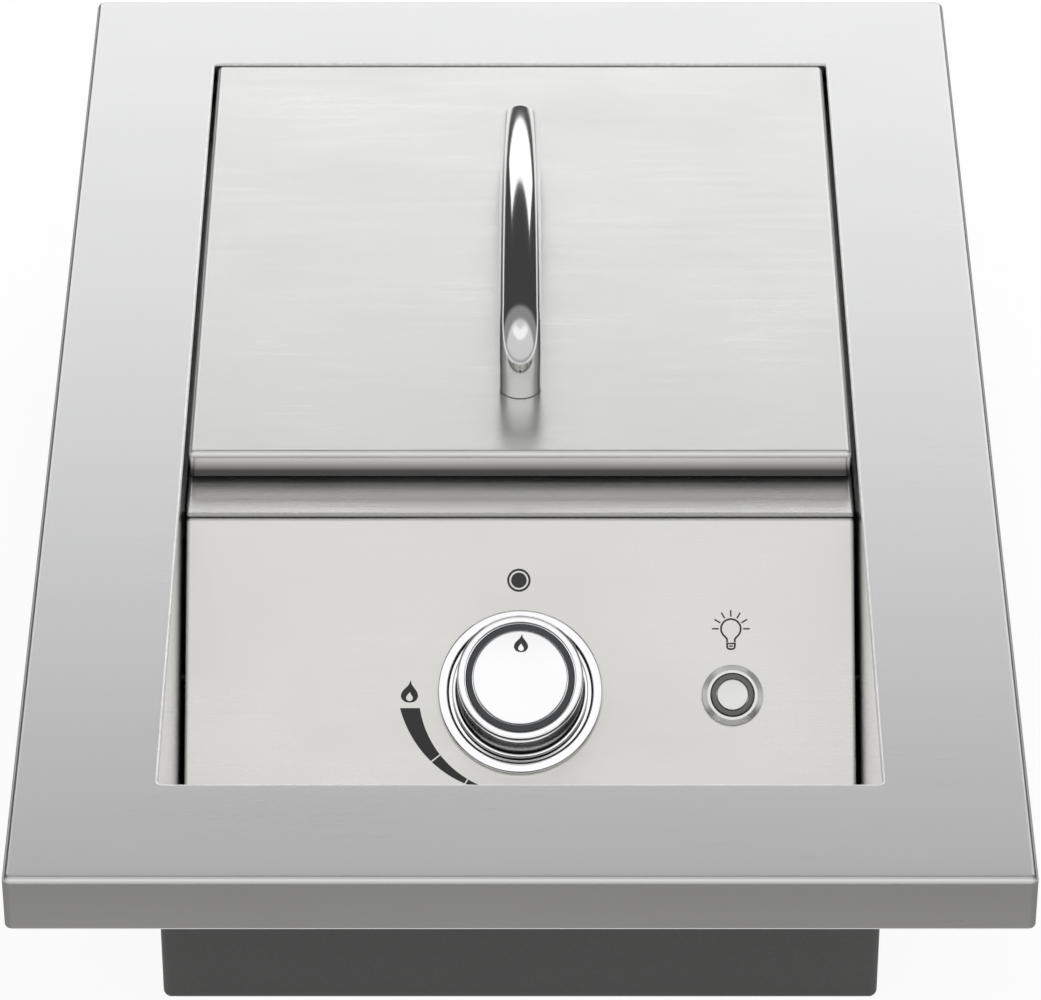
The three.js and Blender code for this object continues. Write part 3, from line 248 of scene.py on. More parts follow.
def refined(node, material):
    # a finer copy of a CAD node: its loose triangles joined, flat faces merged and edges rounded
    low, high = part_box(node)
    bevel = min(meshSizes["nodeBevel"], min(high - low) * metre * meshSizes["nodeBevelShare"])
    mesh = frame["nodes"][node].data.copy()
    mesh.materials.clear()
    mesh.materials.append(material)
    work = bmesh.new()
    work.from_mesh(mesh)
    bmesh.ops.remove_doubles(work, verts=work.verts, dist=meshSizes["nodeWeld"])
    bmesh.ops.dissolve_limit(work, angle_limit=math.radians(meshSizes["flatTurn"]), verts=work.verts,
                             edges=work.edges)
    work.to_mesh(mesh)
    work.free()
    finishPiece(node + "_finish", mesh, node, meshSizes["nodeTurn"], bevel)


def combine(piece, parts, operation="DIFFERENCE"):
    # takes closed shapes out of a piece, or adds them to it, and evens its shading again
    material = piece.data.materials[0]
    tool = meshPiece("tool", parts, material, weighted=False)
    piece.modifiers.clear()
    change = piece.modifiers.new("change", "BOOLEAN")
    change.object = tool
    change.operation = operation
    change.solver = "MANIFOLD"
    bpy.context.view_layer.update()
    view = bpy.context.evaluated_depsgraph_get()
    shaped = bpy.data.meshes.new_from_object(
        piece.evaluated_get(view), preserve_all_data_layers=True, depsgraph=view)
    piece.modifiers.clear()
    shaped.name = piece.data.name + "_cut"
    shaped.materials.clear()
    shaped.materials.append(material)
    shaped.polygons.foreach_set("material_index", np.zeros(len(shaped.polygons), np.int32))
    piece.data = shaped
    bpy.data.objects.remove(tool)
    shaped.set_sharp_from_angle(angle=math.radians(meshSizes["sharpTurn"]))
    brushUv(shaped)
    evenShading(piece)


# Materials

class Nodes:
    # the node tree of a material or of the world, with the few kinds of node used here

    def __init__(self, owner):
        owner.use_nodes = True
        self.nodes, self.links = owner.node_tree.nodes, owner.node_tree.links

    def put(self, node, inputs):
        # each input is set to a value or joined to another node's output
        for name, value in inputs.items():
            if isinstance(value, bpy.types.NodeSocket):
                self.links.new(value, node.inputs[name])
            else:
                node.inputs[name].default_value = value
        return node

    def add(self, kind, inputs, output=0, **settings):
        node = self.nodes.new("ShaderNode" + kind)
        for name, value in settings.items():
            setattr(node, name, value)
        return self.put(node, inputs).outputs[output]

    def plus(self, a, b):
        return self.add("Math", {0: a, 1: b}, operation="ADD")

    def times(self, a, b):
        return self.add("Math", {0: a, 1: b}, operation="MULTIPLY")

    def noise(self, stretch, scale, detail=3.0, roughness=0.5):
        place = self.add("TexCoord", {}, "Object")
        place = self.add("Mapping", {"Vector": place, "Scale": stretch})
        return self.add("TexNoise", {"Vector": place, "Scale": scale, "Detail": detail,
                                     "Roughness": roughness}, "Fac")

    def evenNoise(self, scale, detail=3.0, roughness=0.5):
        return self.noise((1.0, 1.0, 1.0), scale, detail, roughness)

    def spread(self, value, low, high, fromLow=0.3, fromHigh=0.7, **settings):
        return self.add("MapRange", {"Value": value, "From Min": fromLow, "From Max": fromHigh, "To Min": low,
                                     "To Max": high}, "Result", **settings)

    def tint(self, shader, color, factor):
        # the colour times a varying factor
        scaled = self.add("VectorMath", {0: color, "Scale": factor}, operation="SCALE")
        self.put(shader, {"Base Color": scaled})

    def bump(self, shader, height, strength, distance):
        bump = self.add("Bump", {"Height": height, "Strength": strength, "Distance": distance}, "Normal")
        self.put(shader, {"Normal": bump})


def newMaterial(name, color, metallic, roughness, coat=0.0, anisotropic=0.0, specular=0.5):
    material = bpy.data.materials.new(name)
    tree = Nodes(material)
    shader = tree.put(tree.nodes["Principled BSDF"], {
        "Base Color": (*color, 1), "Metallic": metallic, "Roughness": roughness, "Coat Weight": coat,
        "Coat Roughness": 0.1, "Specular IOR Level": specular, "Anisotropic": anisotropic})
    material.diffuse_color = (*color, 1)
    return material, tree, shader


def brushedSteel(name, color, roughness, grain=1.0, cloud=1.0, anisotropic=0.55, along="x", paintedShadeAndLight=None):
    # fine parallel scratches, longer and shorter ones, over slow clouds of tone
    material, tree, shader = newMaterial(name, color, 1.0, roughness, anisotropic=anisotropic)
    fine = tree.noise([3.0 if axis == along else 420.0 for axis in "xyz"], 8.0, 4.0, 0.65)
    coarse = tree.noise([8.0 if axis == along else 160.0 for axis in "xyz"], 2.2, 3.0, 0.6)
    clouds = tree.noise((1.0, 1.6, 1.6), 14.0)
    lines = tree.plus(tree.times(fine, 0.6), tree.times(coarse, 0.4))
    tone = tree.times(tree.spread(lines, 1 - 0.05 * grain, 1 + 0.03 * grain),
                      tree.spread(clouds, 1 - 0.03 * cloud, 1 + 0.02 * cloud))
    if paintedShadeAndLight:
        # painted shade and light: the tone darker or lighter in bands where the sheet faces its neighbour,
        # given as (start, end, factor before, factor after)
        split = tree.add("SeparateXYZ", {"Vector": tree.add("TexCoord", {}, "Object")}, paintedShadeAndLight[0])
        for start, end, before, after in paintedShadeAndLight[1:]:
            tone = tree.times(tone, tree.spread(split, before, after, start, end))
    tree.tint(shader, color, tone)
    rough = tree.plus(tree.spread(lines, roughness - 0.05 * grain, roughness + 0.06 * grain),
                      tree.spread(clouds, -0.02 * cloud, 0.03 * cloud))
    tangent = tree.add("Tangent", {}, direction_type="UV_MAP", uv_map="brush")
    tree.put(shader, {"Roughness": rough, "Anisotropic Rotation": 0.25, "Tangent": tangent})
    tree.bump(shader, lines, 0.10 * grain, 0.0004)
    return material


def speckled(name, color, metallic, roughness, fine, slow, fineTone, slowTone, gloss, relief, **settings):
    # a fine skin over slow patches: fine and slow are noises, each with its range of tone
    # gloss is (whether it follows the fine one, least, most), and relief is (strength, distance)
    material, tree, shader = newMaterial(name, color, metallic, roughness, **settings)
    fine, slow = tree.evenNoise(*fine), tree.evenNoise(*slow)
    tone = tree.spread(slow, *slowTone)
    if fineTone:
        tone = tree.times(tree.spread(fine, *fineTone), tone)
    tree.tint(shader, color, tone)
    byFine, least, most = gloss
    tree.put(shader, {"Roughness": tree.spread(fine if byFine else slow, roughness + least, roughness + most)})
    tree.bump(shader, fine, *relief)
    return material


def polishedMetal(name, color, roughness, haze):
    # a mirror with faint wiping marks in its gloss
    return speckled(name, color, 1.0, roughness, (90.0, 5.0, 0.7), (28.0, 2.0), None, (0.985, 1.01),
                    (True, 0.0, haze), (0.012, 0.0003))


def plainMetal(name, color, roughness, metallic=1.0, grain=180.0, depth=0.12):
    # a satin or cast surface: small pits and slow patches
    return speckled(name, color, metallic, roughness, (grain, 4.0, 0.6), (22.0,), (0.9, 1.08), (0.93, 1.05),
                    (False, -0.06, 0.07), (depth, 0.0006))


def powderCoat(name, color, roughness=0.52):
    # painted sheet with a fine orange-peel skin
    return speckled(name, color, 0.0, roughness, (900.0, 2.0), (11.0,), (0.94, 1.06), (0.95, 1.04),
                    (False, -0.04, 0.05), (0.12, 0.0002), specular=0.42)


def mouldedPlastic(name, color, roughness, coat=0.0):
    return speckled(name, color, 0.0, roughness, (700.0,), (40.0, 2.0), None, (0.9, 1.1),
                    (True, -0.03, 0.04), (0.05, 0.0002), coat=coat)


# painted shade and light bands, in metres: the lid's skirt painted darker towards its foot and its top a touch
# lighter, by height; the deck's rolled front lip painted darker and the deck from Y -30 mm rearward a touch
# lighter, by its place along Y
lidPaintedShadeAndLight = ("Z", (0.0945, 0.1000, 0.12, 1.06))
deckPaintedShadeAndLight = ("Y", (-0.0616, -0.0606, 0.38, 1.0), (-0.039, -0.030, 1.0, 1.04))
trimSteel = brushedSteel("trimSteel", (0.775, 0.777, 0.779), 0.28, grain=0.10, cloud=0.25)
# painted light: the well's walls take a lighter copy of the trim's steel
wallSteelPaintedLight = brushedSteel("wallSteelPaintedLight", (1.0, 1.0, 0.99), 0.16, grain=0.3, cloud=0.3, anisotropic=0.0,
                         along="y")
# painted highlight: near-white, half-metal paint on the bend round the well's mouth
mouthEdgePaintedHighlight = plainMetal("mouthEdgePaintedHighlight", (0.92, 0.92, 0.91), 0.5, metallic=0.35, grain=420.0, depth=0.03)
lidSteel = brushedSteel("lidSteel", (0.79, 0.787, 0.775), 0.30, grain=0.8, cloud=0.9, paintedShadeAndLight=lidPaintedShadeAndLight)
deckSteel = brushedSteel("deckSteel", (0.96, 0.95, 0.94), 0.27, grain=0.5, cloud=0.8, paintedShadeAndLight=deckPaintedShadeAndLight)
panelSteel = brushedSteel("panelSteel", (0.79, 0.782, 0.757), 0.28, grain=0.5, cloud=2.2)
linerSteel = brushedSteel("linerSteel", (0.62, 0.62, 0.61), 0.36, grain=0.8)
bracketSteel = plainMetal("bracketSteel", (0.52, 0.52, 0.52), 0.42)
screwSteel = plainMetal("screwSteel", (0.58, 0.58, 0.58), 0.30, grain=420.0, depth=0.05)
screwBlack = plainMetal("screwBlack", (0.05, 0.05, 0.052), 0.42, grain=420.0, depth=0.05)
pipeSteel = plainMetal("pipeSteel", (0.55, 0.55, 0.55), 0.32, grain=260.0, depth=0.05)
handleSteel = polishedMetal("handleSteel", (0.80, 0.80, 0.80), 0.10, 0.03)
knobChrome = polishedMetal("knobChrome", (0.89, 0.89, 0.90), 0.035, 0.02)
# painted shade: a dark copy of the chrome for the knob's drawn-in neck, standing in for its dark reflection
neckChromePaintedDark = polishedMetal("neckChromePaintedDark", (0.10, 0.10, 0.098), 0.12, 0.02)
switchChrome = polishedMetal("switchChrome", (0.79, 0.79, 0.78), 0.25, 0.03)
buttonSteel = brushedSteel("buttonSteel", (0.78, 0.78, 0.77), 0.24, grain=0.5, cloud=0.3)
castIron = plainMetal("castIron", (0.022, 0.022, 0.023), 0.62, metallic=0.25, grain=420.0, depth=0.45)
castAluminium = plainMetal("castAluminium", (0.50, 0.51, 0.52), 0.44, grain=300.0, depth=0.25)
fittingBrass = plainMetal("fittingBrass", (0.72, 0.52, 0.22), 0.30, grain=260.0, depth=0.05)
housingPaint = powderCoat("housingPaint", (0.088, 0.089, 0.086))
grooveDark = mouldedPlastic("grooveDark", (0.03, 0.036, 0.044), 0.22, coat=0.2)
buttonRingDark = mouldedPlastic("buttonRingDark", (0.19, 0.187, 0.18), 0.26, coat=0.2)
ringClear = mouldedPlastic("ringClear", (0.32, 0.34, 0.36), 0.18, coat=0.6)
hubPlastic = mouldedPlastic("hubPlastic", (0.03, 0.03, 0.03), 0.45)
modulePlastic = mouldedPlastic("modulePlastic", (0.03, 0.03, 0.032), 0.50)
softSilicone = mouldedPlastic("softSilicone", (0.05, 0.05, 0.05), 0.62)
ceramicWhite = mouldedPlastic("ceramicWhite", (0.72, 0.69, 0.62), 0.25, coat=0.3)
printInk = mouldedPlastic("printInk", (0.035, 0.035, 0.034), 0.42)
print("stage: materials made")


# Trim: flat top, folded outer skirt and hem, and the well's walls, as one folded sheet

trimSizes = dict(
    sheet=0.8, edge=2.5, corner=3.2, skirt=23.5, hem=12.0, hemBend=1.0, hemInner=0.3, wellCorner=1.5,
    wellEdge=1.0, wellInner=0.4, wallFoot=0.9, wellFlat=6.0, skirtFlat=8.0, bendSteps=8, backSteps=3, sides=6)


def makeTrim():
    u, t = unitSizes, trimSizes
    top, foot, sheet = u["trimTop"], u["trimTop"] - t["skirt"], t["sheet"]
    wall, flat, far = t["wallFoot"], t["wellFlat"], -t["skirtFlat"]
    # the well's side of the section: distance out from the wall's inner face, and height
    wellOut = fillet([(0, wall), (0, top, t["wellEdge"]), (flat, top)], t["bendSteps"])
    wellBack = fillet([(flat, top - sheet), (sheet, top - sheet, t["wellInner"]), (sheet, wall)],
                      t["backSteps"])
    # the skirt's side: distance out from the trim's outer face, and height
    skirtOut = fillet([(far, top), (0, top, t["edge"]), (0, foot, t["hemBend"]), (-sheet - t["hem"], foot)],
                      t["bendSteps"])
    skirtBack = fillet([(-sheet - t["hem"], foot + sheet), (-sheet, foot + sheet, t["hemInner"]),
                        (-sheet, top - sheet, t["edge"] - sheet), (far, top - sheet)], t["backSteps"] + 1)
    well = dict(width=u["wellWidth"], length=u["wellLength"], corner=t["wellCorner"],
                centreY=u["wellShift"], side=t["sides"])
    skirt = dict(width=u["trimWidth"], length=u["trimLength"], corner=t["corner"], side=t["sides"])
    loops = sweptLoops(wellOut, **well) + sweptLoops(skirtOut, **skirt)
    loops += sweptLoops(skirtBack, **skirt) + sweptLoops(wellBack, **well)
    piece = meshPiece("trim_folded", [stackLoops(loops, ring=True)], trimSteel, "trim_frame")
    # the well's inner walls take a lighter copy of the steel, painted light, brushed along their length, and
    # the bend round its mouth takes a near-white half-metal paint, a painted highlight
    piece.data.materials.append(wallSteelPaintedLight)
    piece.data.materials.append(mouthEdgePaintedHighlight)
    for face in piece.data.polygons:
        x, y, z = np.array(face.center) * metre
        outside = max(abs(x) - u["wellWidth"] / 2, abs(y - u["wellShift"]) - u["wellLength"] / 2)
        inMouth = z > top - t["wellEdge"]
        if inMouth and outside < t["wellEdge"]:
            face.material_index = 2
        elif not inMouth and outside < sheet / 8:
            face.material_index = 1


makeTrim()
print("stage: trim made")


# Housing: a dark coated box, soft at its folded edges, with rows of vents in its floor

housingSizes = dict(
    width=265.4, length=485.6, height=101.9, sheet=0.6, corner=3.0, edge=3.0, vents=5, ventPitch=14.0,
    ventLength=44.0, ventWidth=5.0, ventRound=0.49, ventAcross=78.0, inletAcross=50.0, inletHeight=20.0,
    inletHole=8.4, cut=5.0)


def makeHousing():
    u, h = unitSizes, housingSizes
    middle, sheet, cut = -h["width"] / 2 + 1, h["sheet"], h["cut"]
    section = fillet([(middle, 0), (0, 0, h["edge"]), (0, h["height"]), (-sheet, h["height"]),
                      (-sheet, sheet, h["edge"] - sheet), (middle, sheet)], 6)
    loops = sweptLoops(section[1:-1], h["width"], h["length"], h["corner"], centreY=u["wellShift"])
    piece = meshPiece("housing_shell", [stackLoops(loops)], housingPaint, "housing_box")
    cutters = []
    for side in (-1, 1):
        for i in range(h["vents"]):
            y = u["burnerY"] + (i - (h["vents"] - 1) / 2) * h["ventPitch"]
            vent = roundedLoop(h["ventLength"], h["ventWidth"], h["ventWidth"] * h["ventRound"], 0,
                               centreX=side * h["ventAcross"], centreY=y)
            cutters.append(prism(vent[:, :2], -cut, cut))
    points, faces = rod(h["inletHole"], -cut, cut, 48)
    rear = u["wellShift"] + h["length"] / 2
    x, y, z = points.T
    cutters.append((np.stack([x + h["inletAcross"], z + rear, y + h["inletHeight"]], -1), faces))
    combine(piece, cutters)


makeHousing()
print("stage: housing made")


# Deck: a folded plate with a stepped rim for the grate and a pressed basin for the burner

deckSizes = dict(
    sheet=1.0, edge=1.5, skirt=10.0, lip=1.0, notch=12.0, rim=232.0, rimCorner=30.0, leastCorner=4.0,
    rimDepth=6.0, shelf=9.0, basinRound=5.0, basinFlat=60.0, rimFlat=6.0, plateFlat=8.0, topRound=1.6,
    shelfRound=1.2, innerRound=0.6, stepRound=2.0, tubeHole=9.4, tubeReach=30.0, tubeEnd=8.0,
    electrodeAcross=-37.0, electrodeBack=37.0, electrodeHole=3.4, screwAcross=46.0, screwHole=2.4, cut=5.0,
    turn=9, sides=6)


def makeDeck():
    u, d = unitSizes, deckSizes
    top, shelf, floor = u["deckTop"], u["deckTop"] - d["rimDepth"], u["basinFloor"]
    sheet, wall, flat, cut = d["sheet"], -d["shelf"], -d["basinFlat"], d["cut"]
    # inner half: distance outward from the rim's wall, and height, from the basin's floor up to the plate
    inner = fillet([(flat, floor), (wall, floor, d["basinRound"]), (wall, shelf, d["topRound"]),
                    (0, shelf, d["shelfRound"]), (0, top, d["topRound"]), (d["rimFlat"], top)], 6)[1:-1]
    back = fillet([(d["rimFlat"], top - sheet), (sheet, top - sheet, d["innerRound"]),
                   (sheet, shelf - sheet, d["stepRound"]), (wall + sheet, shelf - sheet, d["innerRound"]),
                   (wall + sheet, floor - sheet, d["basinRound"] + sheet), (flat, floor - sheet)], 4)[1:-1]
    # outer half: distance outward from the plate's edge, and height
    skirtFoot = top - d["skirt"]
    outer = fillet([(-d["plateFlat"], top), (0, top, d["edge"]), (0, skirtFoot), (-sheet, skirtFoot),
                    (-sheet, top - sheet, d["innerRound"]), (-d["plateFlat"], top - sheet)], 6)[1:-1]
    steps = dict(turn=d["turn"], side=d["sides"])
    rim = dict(width=d["rim"], length=d["rim"], corner=d["rimCorner"], least=d["leastCorner"],
               centreY=u["burnerY"], **steps)
    plate = sweptLoops(outer, u["unitWidth"], u["deckRear"] - u["deckFront"], d["edge"],
                       centreY=(u["deckRear"] + u["deckFront"]) / 2, **steps)
    loops = sweptLoops(inner, **rim) + plate + sweptLoops(back, **rim)
    piece = meshPiece("deck_pressed", [stackLoops(loops)], deckSteel, "burner_deck")
    # the front skirt is cut back to a lip, and the tube, the electrode and two screws pass through
    half, near, far = u["unitWidth"] / 2 + cut, u["deckFront"] - cut, u["deckFront"] + d["notch"]
    cutters = [prism(oblong(-half, half, near, far), skirtFoot - cut, top - d["lip"])]
    points, faces = rod(d["tubeHole"], -d["tubeReach"], d["tubeEnd"])
    basinFront = u["burnerY"] - d["rim"] / 2 + d["shelf"]
    low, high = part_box("burner_tube")
    tubeAxis = (low + high)[2] * metre / 2
    cutters.append((np.stack([points[:, 0], basinFront + points[:, 2], tubeAxis - points[:, 1]], -1), faces))
    for x, y, radius in ((d["electrodeAcross"], u["burnerY"] - d["electrodeBack"], d["electrodeHole"]),
                         (-d["screwAcross"], u["burnerY"], d["screwHole"]),
                         (d["screwAcross"], u["burnerY"], d["screwHole"])):
        cutters.append(rod(radius, floor - cut, floor + cut, 32, (x, y, 0)))
    combine(piece, cutters)


makeDeck()
print("stage: deck made")


# Lid: a shallow inverted tray and a round bail handle

lidSizes = dict(
    height=11.0, sheet=1.0, edge=2.5, corner=2.5, handleRadius=8.3, handleHeight=34.0, handleBend=17.0,
    handleArch=280.0, handleFront=5.4, handleRear=168.0, bendSteps=20, archSteps=26, around=72)


def trayLoops(sizes, length, top, height, centreY):
    # top face, rolled edge, skirt, then back up inside
    flat, sheet, edge = -30, sizes["sheet"], sizes["edge"]
    section = fillet([(flat, top), (0, top, edge), (0, top - height), (-sheet, top - height),
                      (-sheet, top - sheet, edge - sheet), (flat, top - sheet)], 8)[1:-1]
    return sweptLoops(section, unitSizes["unitWidth"], length, sizes["corner"], gap, centreY=centreY, side=6)


def makeLid():
    u = unitSizes
    loops = trayLoops(lidSizes, u["deckRear"] - u["lidFront"], u["trimTop"], lidSizes["height"],
                      (u["deckRear"] + u["lidFront"]) / 2)
    meshPiece("lid_tray", [stackLoops(loops)], lidSteel, "lid_panel")


def makeHandle():
    # centre line: upright feet, two tight bends and a wide arch that meets them smoothly
    lid = lidSizes
    foot, top = unitSizes["trimTop"] + gap, unitSizes["trimTop"] + lid["handleHeight"]
    bend, archRadius = lid["handleBend"], lid["handleArch"]
    middle = (lid["handleFront"] + lid["handleRear"]) / 2
    reach = (lid["handleRear"] - lid["handleFront"]) / 2 - bend
    tilt = math.asin(reach / (archRadius - bend))
    height = top - archRadius + math.cos(tilt) * (archRadius - bend)
    path = [(lid["handleFront"], foot)]
    for centre, level, radius, start, end, steps in (
            (middle - reach, height, bend, pi, pi / 2 + tilt, lid["bendSteps"]),
            (middle, top - archRadius, archRadius, pi / 2 + tilt, pi / 2 - tilt, lid["archSteps"]),
            (middle + reach, height, bend, pi / 2 - tilt, 0.0, lid["bendSteps"])):
        for t in np.linspace(start, end, steps + 1)[1 if len(path) > 2 else 0:]:
            path.append((centre + math.cos(t) * radius, level + math.sin(t) * radius))
    path = np.array(path + [(lid["handleRear"], foot)])
    points = np.column_stack([np.zeros(len(path)), path])
    # rings square to the bar's centre line
    ahead = np.gradient(points, axis=0)
    ahead[0] = ahead[1] = (0, 0, 1)
    ahead[-1] = ahead[-2] = (0, 0, -1)
    ahead /= np.linalg.norm(ahead, axis=1)[:, None]
    side = np.array([1.0, 0.0, 0.0])
    lift = np.cross(ahead, side)[:, None]
    angle = np.linspace(0, 2 * pi, lid["around"], endpoint=False)[None, :, None]
    rings = points[:, None] + lid["handleRadius"] * (np.cos(angle) * side + np.sin(angle) * lift)
    meshPiece("handle_bail", [stackLoops(rings)], handleSteel, "lid_handle", sharp=50)


makeLid()
makeHandle()
print("stage: lid made")


# Control panel: a folded tray on a 43 degree slope

panelSizes = dict(
    sheet=1.2, edge=2.0, corner=2.0, sideSkirt=12.0, topSkirt=3.0, footSkirt=8.0, stemHole=8.0, screwHole=2.4,
    screwPitch=34.0, switchHole=9.6, buttonAcross=81.8, buttonAlong=70.8, cut=5.0)


def makePanel():
    u, p = unitSizes, panelSizes
    cut, knobAlong = p["cut"], u["knobAlong"]
    start, end = u["panelStart"], u["panelStart"] + u["panelLength"]
    loops = trayLoops(p, u["panelLength"], 0.0, p["sideSkirt"], -(start + end) / 2)
    piece = meshPiece("panel_folded", [onPanel(stackLoops(loops))], panelSteel, "control_panel")
    # the skirts at the top and the foot are shorter than the sides, and four holes go through the face
    half = u["unitWidth"] / 2 - p["sheet"] - p["edge"]
    cutters = []
    for along, depth in ((start, p["topSkirt"]), (end, p["footSkirt"])):
        block = prism(oblong(-half, half, -2 * cut, 2 * cut), -p["sideSkirt"] - cut, -depth)
        cutters.append(onPanel(block, along=along))
    for across, along, radius in (
            (0, knobAlong, p["stemHole"]), (-p["screwPitch"] / 2, knobAlong, p["screwHole"]),
            (p["screwPitch"] / 2, knobAlong, p["screwHole"]),
            (p["buttonAcross"], p["buttonAlong"], p["switchHole"])):
        cutters.append(onPanel(rod(radius, -cut, cut), across, along))
    combine(piece, cutters)


makePanel()
print("stage: panel made")


# Knob: light ring, bezel, flanged body with a drawn-in waist, dark groove ring and domed cap

knobSizes = dict(
    lightSeam=29.5, lightBore=28.4, lightRadius=30.6, lightHeight=1.6, bezelRadius=31.65, bezelWell=27.75,
    bezelBore=12.0, bezelLift=1.6, bezelFloor=1.0, bezelHeight=2.6, bezelRound=0.7, lift=5.4, base=26.2,
    baseHeight=2.6, waist=22.6, top=24.0, height=41.3, rimHeight=4.5, round=1.2, topRound=0.6, wall=3.0,
    grooveOuter=21.05, grooveInner=18.25, grooveDepth=1.6, capRise=0.3, capThickness=1.6, capFlat=0.96,
    hub=11.3, seam=0.35, seamStart=0.1, seamEnd=0.5, neckBright=7.0, soft=0.2, softer=0.5, around=160)


def makeKnob():
    k, pole = knobSizes, meshSizes["pole"]
    soft, softer = k["soft"], k["softer"]

    def turnedPiece(name, profile, material, node, steps=128, ring=True, sharp=32):
        part = onPanel(lathe(profile, steps, ring=ring), along=unitSizes["knobAlong"])
        return meshPiece(name, [part], material, node, sharp)

    lightTop = gap + k["lightHeight"]
    seam, outer, inner = k["lightSeam"], k["lightRadius"], k["lightBore"]
    light = fillet([(seam, gap), (outer, gap, soft), (outer, lightTop, gap), (inner, lightTop, gap),
                    (inner, gap, soft), (seam, gap)], 3)[:-1]
    turnedPiece("light_ring_clear", light, ringClear, "knob_light_ring")
    step, bore, lift = lightTop + gap, k["bezelBore"], k["bezelLift"]
    top, dish, floor = step + k["bezelHeight"], inner - gap, lift + k["bezelFloor"]
    outer, well, bend = k["bezelRadius"], k["bezelWell"], k["bezelRound"]
    bezel = fillet([(bore, gap + softer), (bore, gap), (bore + 1, gap), (bore + 1, lift), (dish, lift),
                    (dish, step), (outer, step, 0.25), (outer, top, bend), (well, top, bend),
                    (well, floor, 2 * soft), (bore, floor)], 6)
    turnedPiece("bezel_turned", bezel, knobChrome, "knob_bezel")

    height = k["height"] - k["lift"]
    grooveFloor = height - k["grooveDepth"] - k["capThickness"]
    low, high, shoulder = k["baseHeight"], height - k["rimHeight"], k["base"] - k["round"]
    # the neck: a straight line from the foot to the rim, less the waist times sin(pi sqrt(t))
    side = []
    for t in np.linspace(0, 1, 40):
        straight = shoulder + (k["top"] - shoulder) * t
        drawn = math.sin(pi * math.sqrt(t)) * (k["top"] - k["waist"])
        side.append((straight - drawn, low + (high - low) * t))
    # a fine turned line under the rim
    seamIn, rimFoot = k["top"] - k["seam"], high + k["seamStart"] + k["seamEnd"]
    seam = [(seamIn, high + k["seamStart"]), (seamIn, high + k["seamEnd"]), (k["top"], rimFoot)]
    base = fillet([(k["hub"], 0), (k["base"], 0, k["round"]), (k["base"], low, k["round"] * k["topRound"]),
                   (shoulder, low)], 5).tolist()
    rim = fillet([(k["top"], rimFoot), (k["top"], height, k["round"]), (k["grooveOuter"], height, 2 * soft),
                  (k["grooveOuter"], grooveFloor), (pole, grooveFloor)], 6).tolist()
    under = grooveFloor - k["wall"]
    profile = base[1:-1] + side + seam + rim[1:] + [(pole, under), (k["hub"], under), (k["hub"], 0.0)]
    knob = turnedPiece("knob_turned", [(r, z + k["lift"]) for r, z in profile], knobChrome, "knob_body",
                       k["around"], sharp=40)
    # the drawn-in neck and the foot's side take a dark copy of the chrome, a painted dark reflection; the
    # foot's upper edge and the rim stay bright chrome
    knob.data.materials.append(neckChromePaintedDark)
    for face in knob.data.polygons:
        rise = (np.array(face.center) * metre - panelOrigin) @ panelAxes[2] - k["lift"]
        if rise < low - k["round"] or low + k["seam"] < rise < high - k["neckBright"]:
            face.material_index = 1

    foot = k["height"] - k["grooveDepth"] - k["capThickness"] + gap
    inner, outer, thick = k["grooveInner"], k["grooveOuter"] - gap, k["capThickness"]
    groove = fillet([(inner, foot + softer), (inner, foot), (outer, foot), (outer, foot + thick, softer),
                     (inner, foot + thick, soft)], 4)
    turnedPiece("groove_ring_glossy", groove, grooveDark, "knob_groove_ring")
    radius, capTop = inner - gap, foot + k["grooveDepth"] + thick - gap
    crown = [(radius * s, capTop + k["capRise"] * (1 - s * s)) for s in np.linspace(k["capFlat"], 0, 14)[:-1]]
    cap = fillet([(pole, foot), (radius, foot, soft), (radius, capTop, softer), crown[0]], 4).tolist()
    turnedPiece("knob_dish", (cap[1:] + crown)[::-1], knobChrome, "knob_cap", k["around"], ring=False)
    return capTop + k["capRise"]


knobTopHeight = makeKnob()
print("stage: knob made")


# Light button: chrome ring, dark ring and a crowned button

buttonSizes = dict(
    ring=11.85, ringHeight=2.0, bore=8.5, barrel=9.3, length=18.0, floor=8.0, buttonRing=8.25, disc=6.15,
    height=2.2, skirt=4.0, push=1.5, rise=0.3, thickness=1.6, land=9.65, bevelDrop=1.04, discGap=0.15,
    ringInner=2.0, ringRound=0.7, discRound=0.35, crownStart=0.86, pins=(-5.0, 0.0, 5.0), pin=(2.8, 0.8, 7.0),
    pinReach=6.0, soft=0.2, around=128)


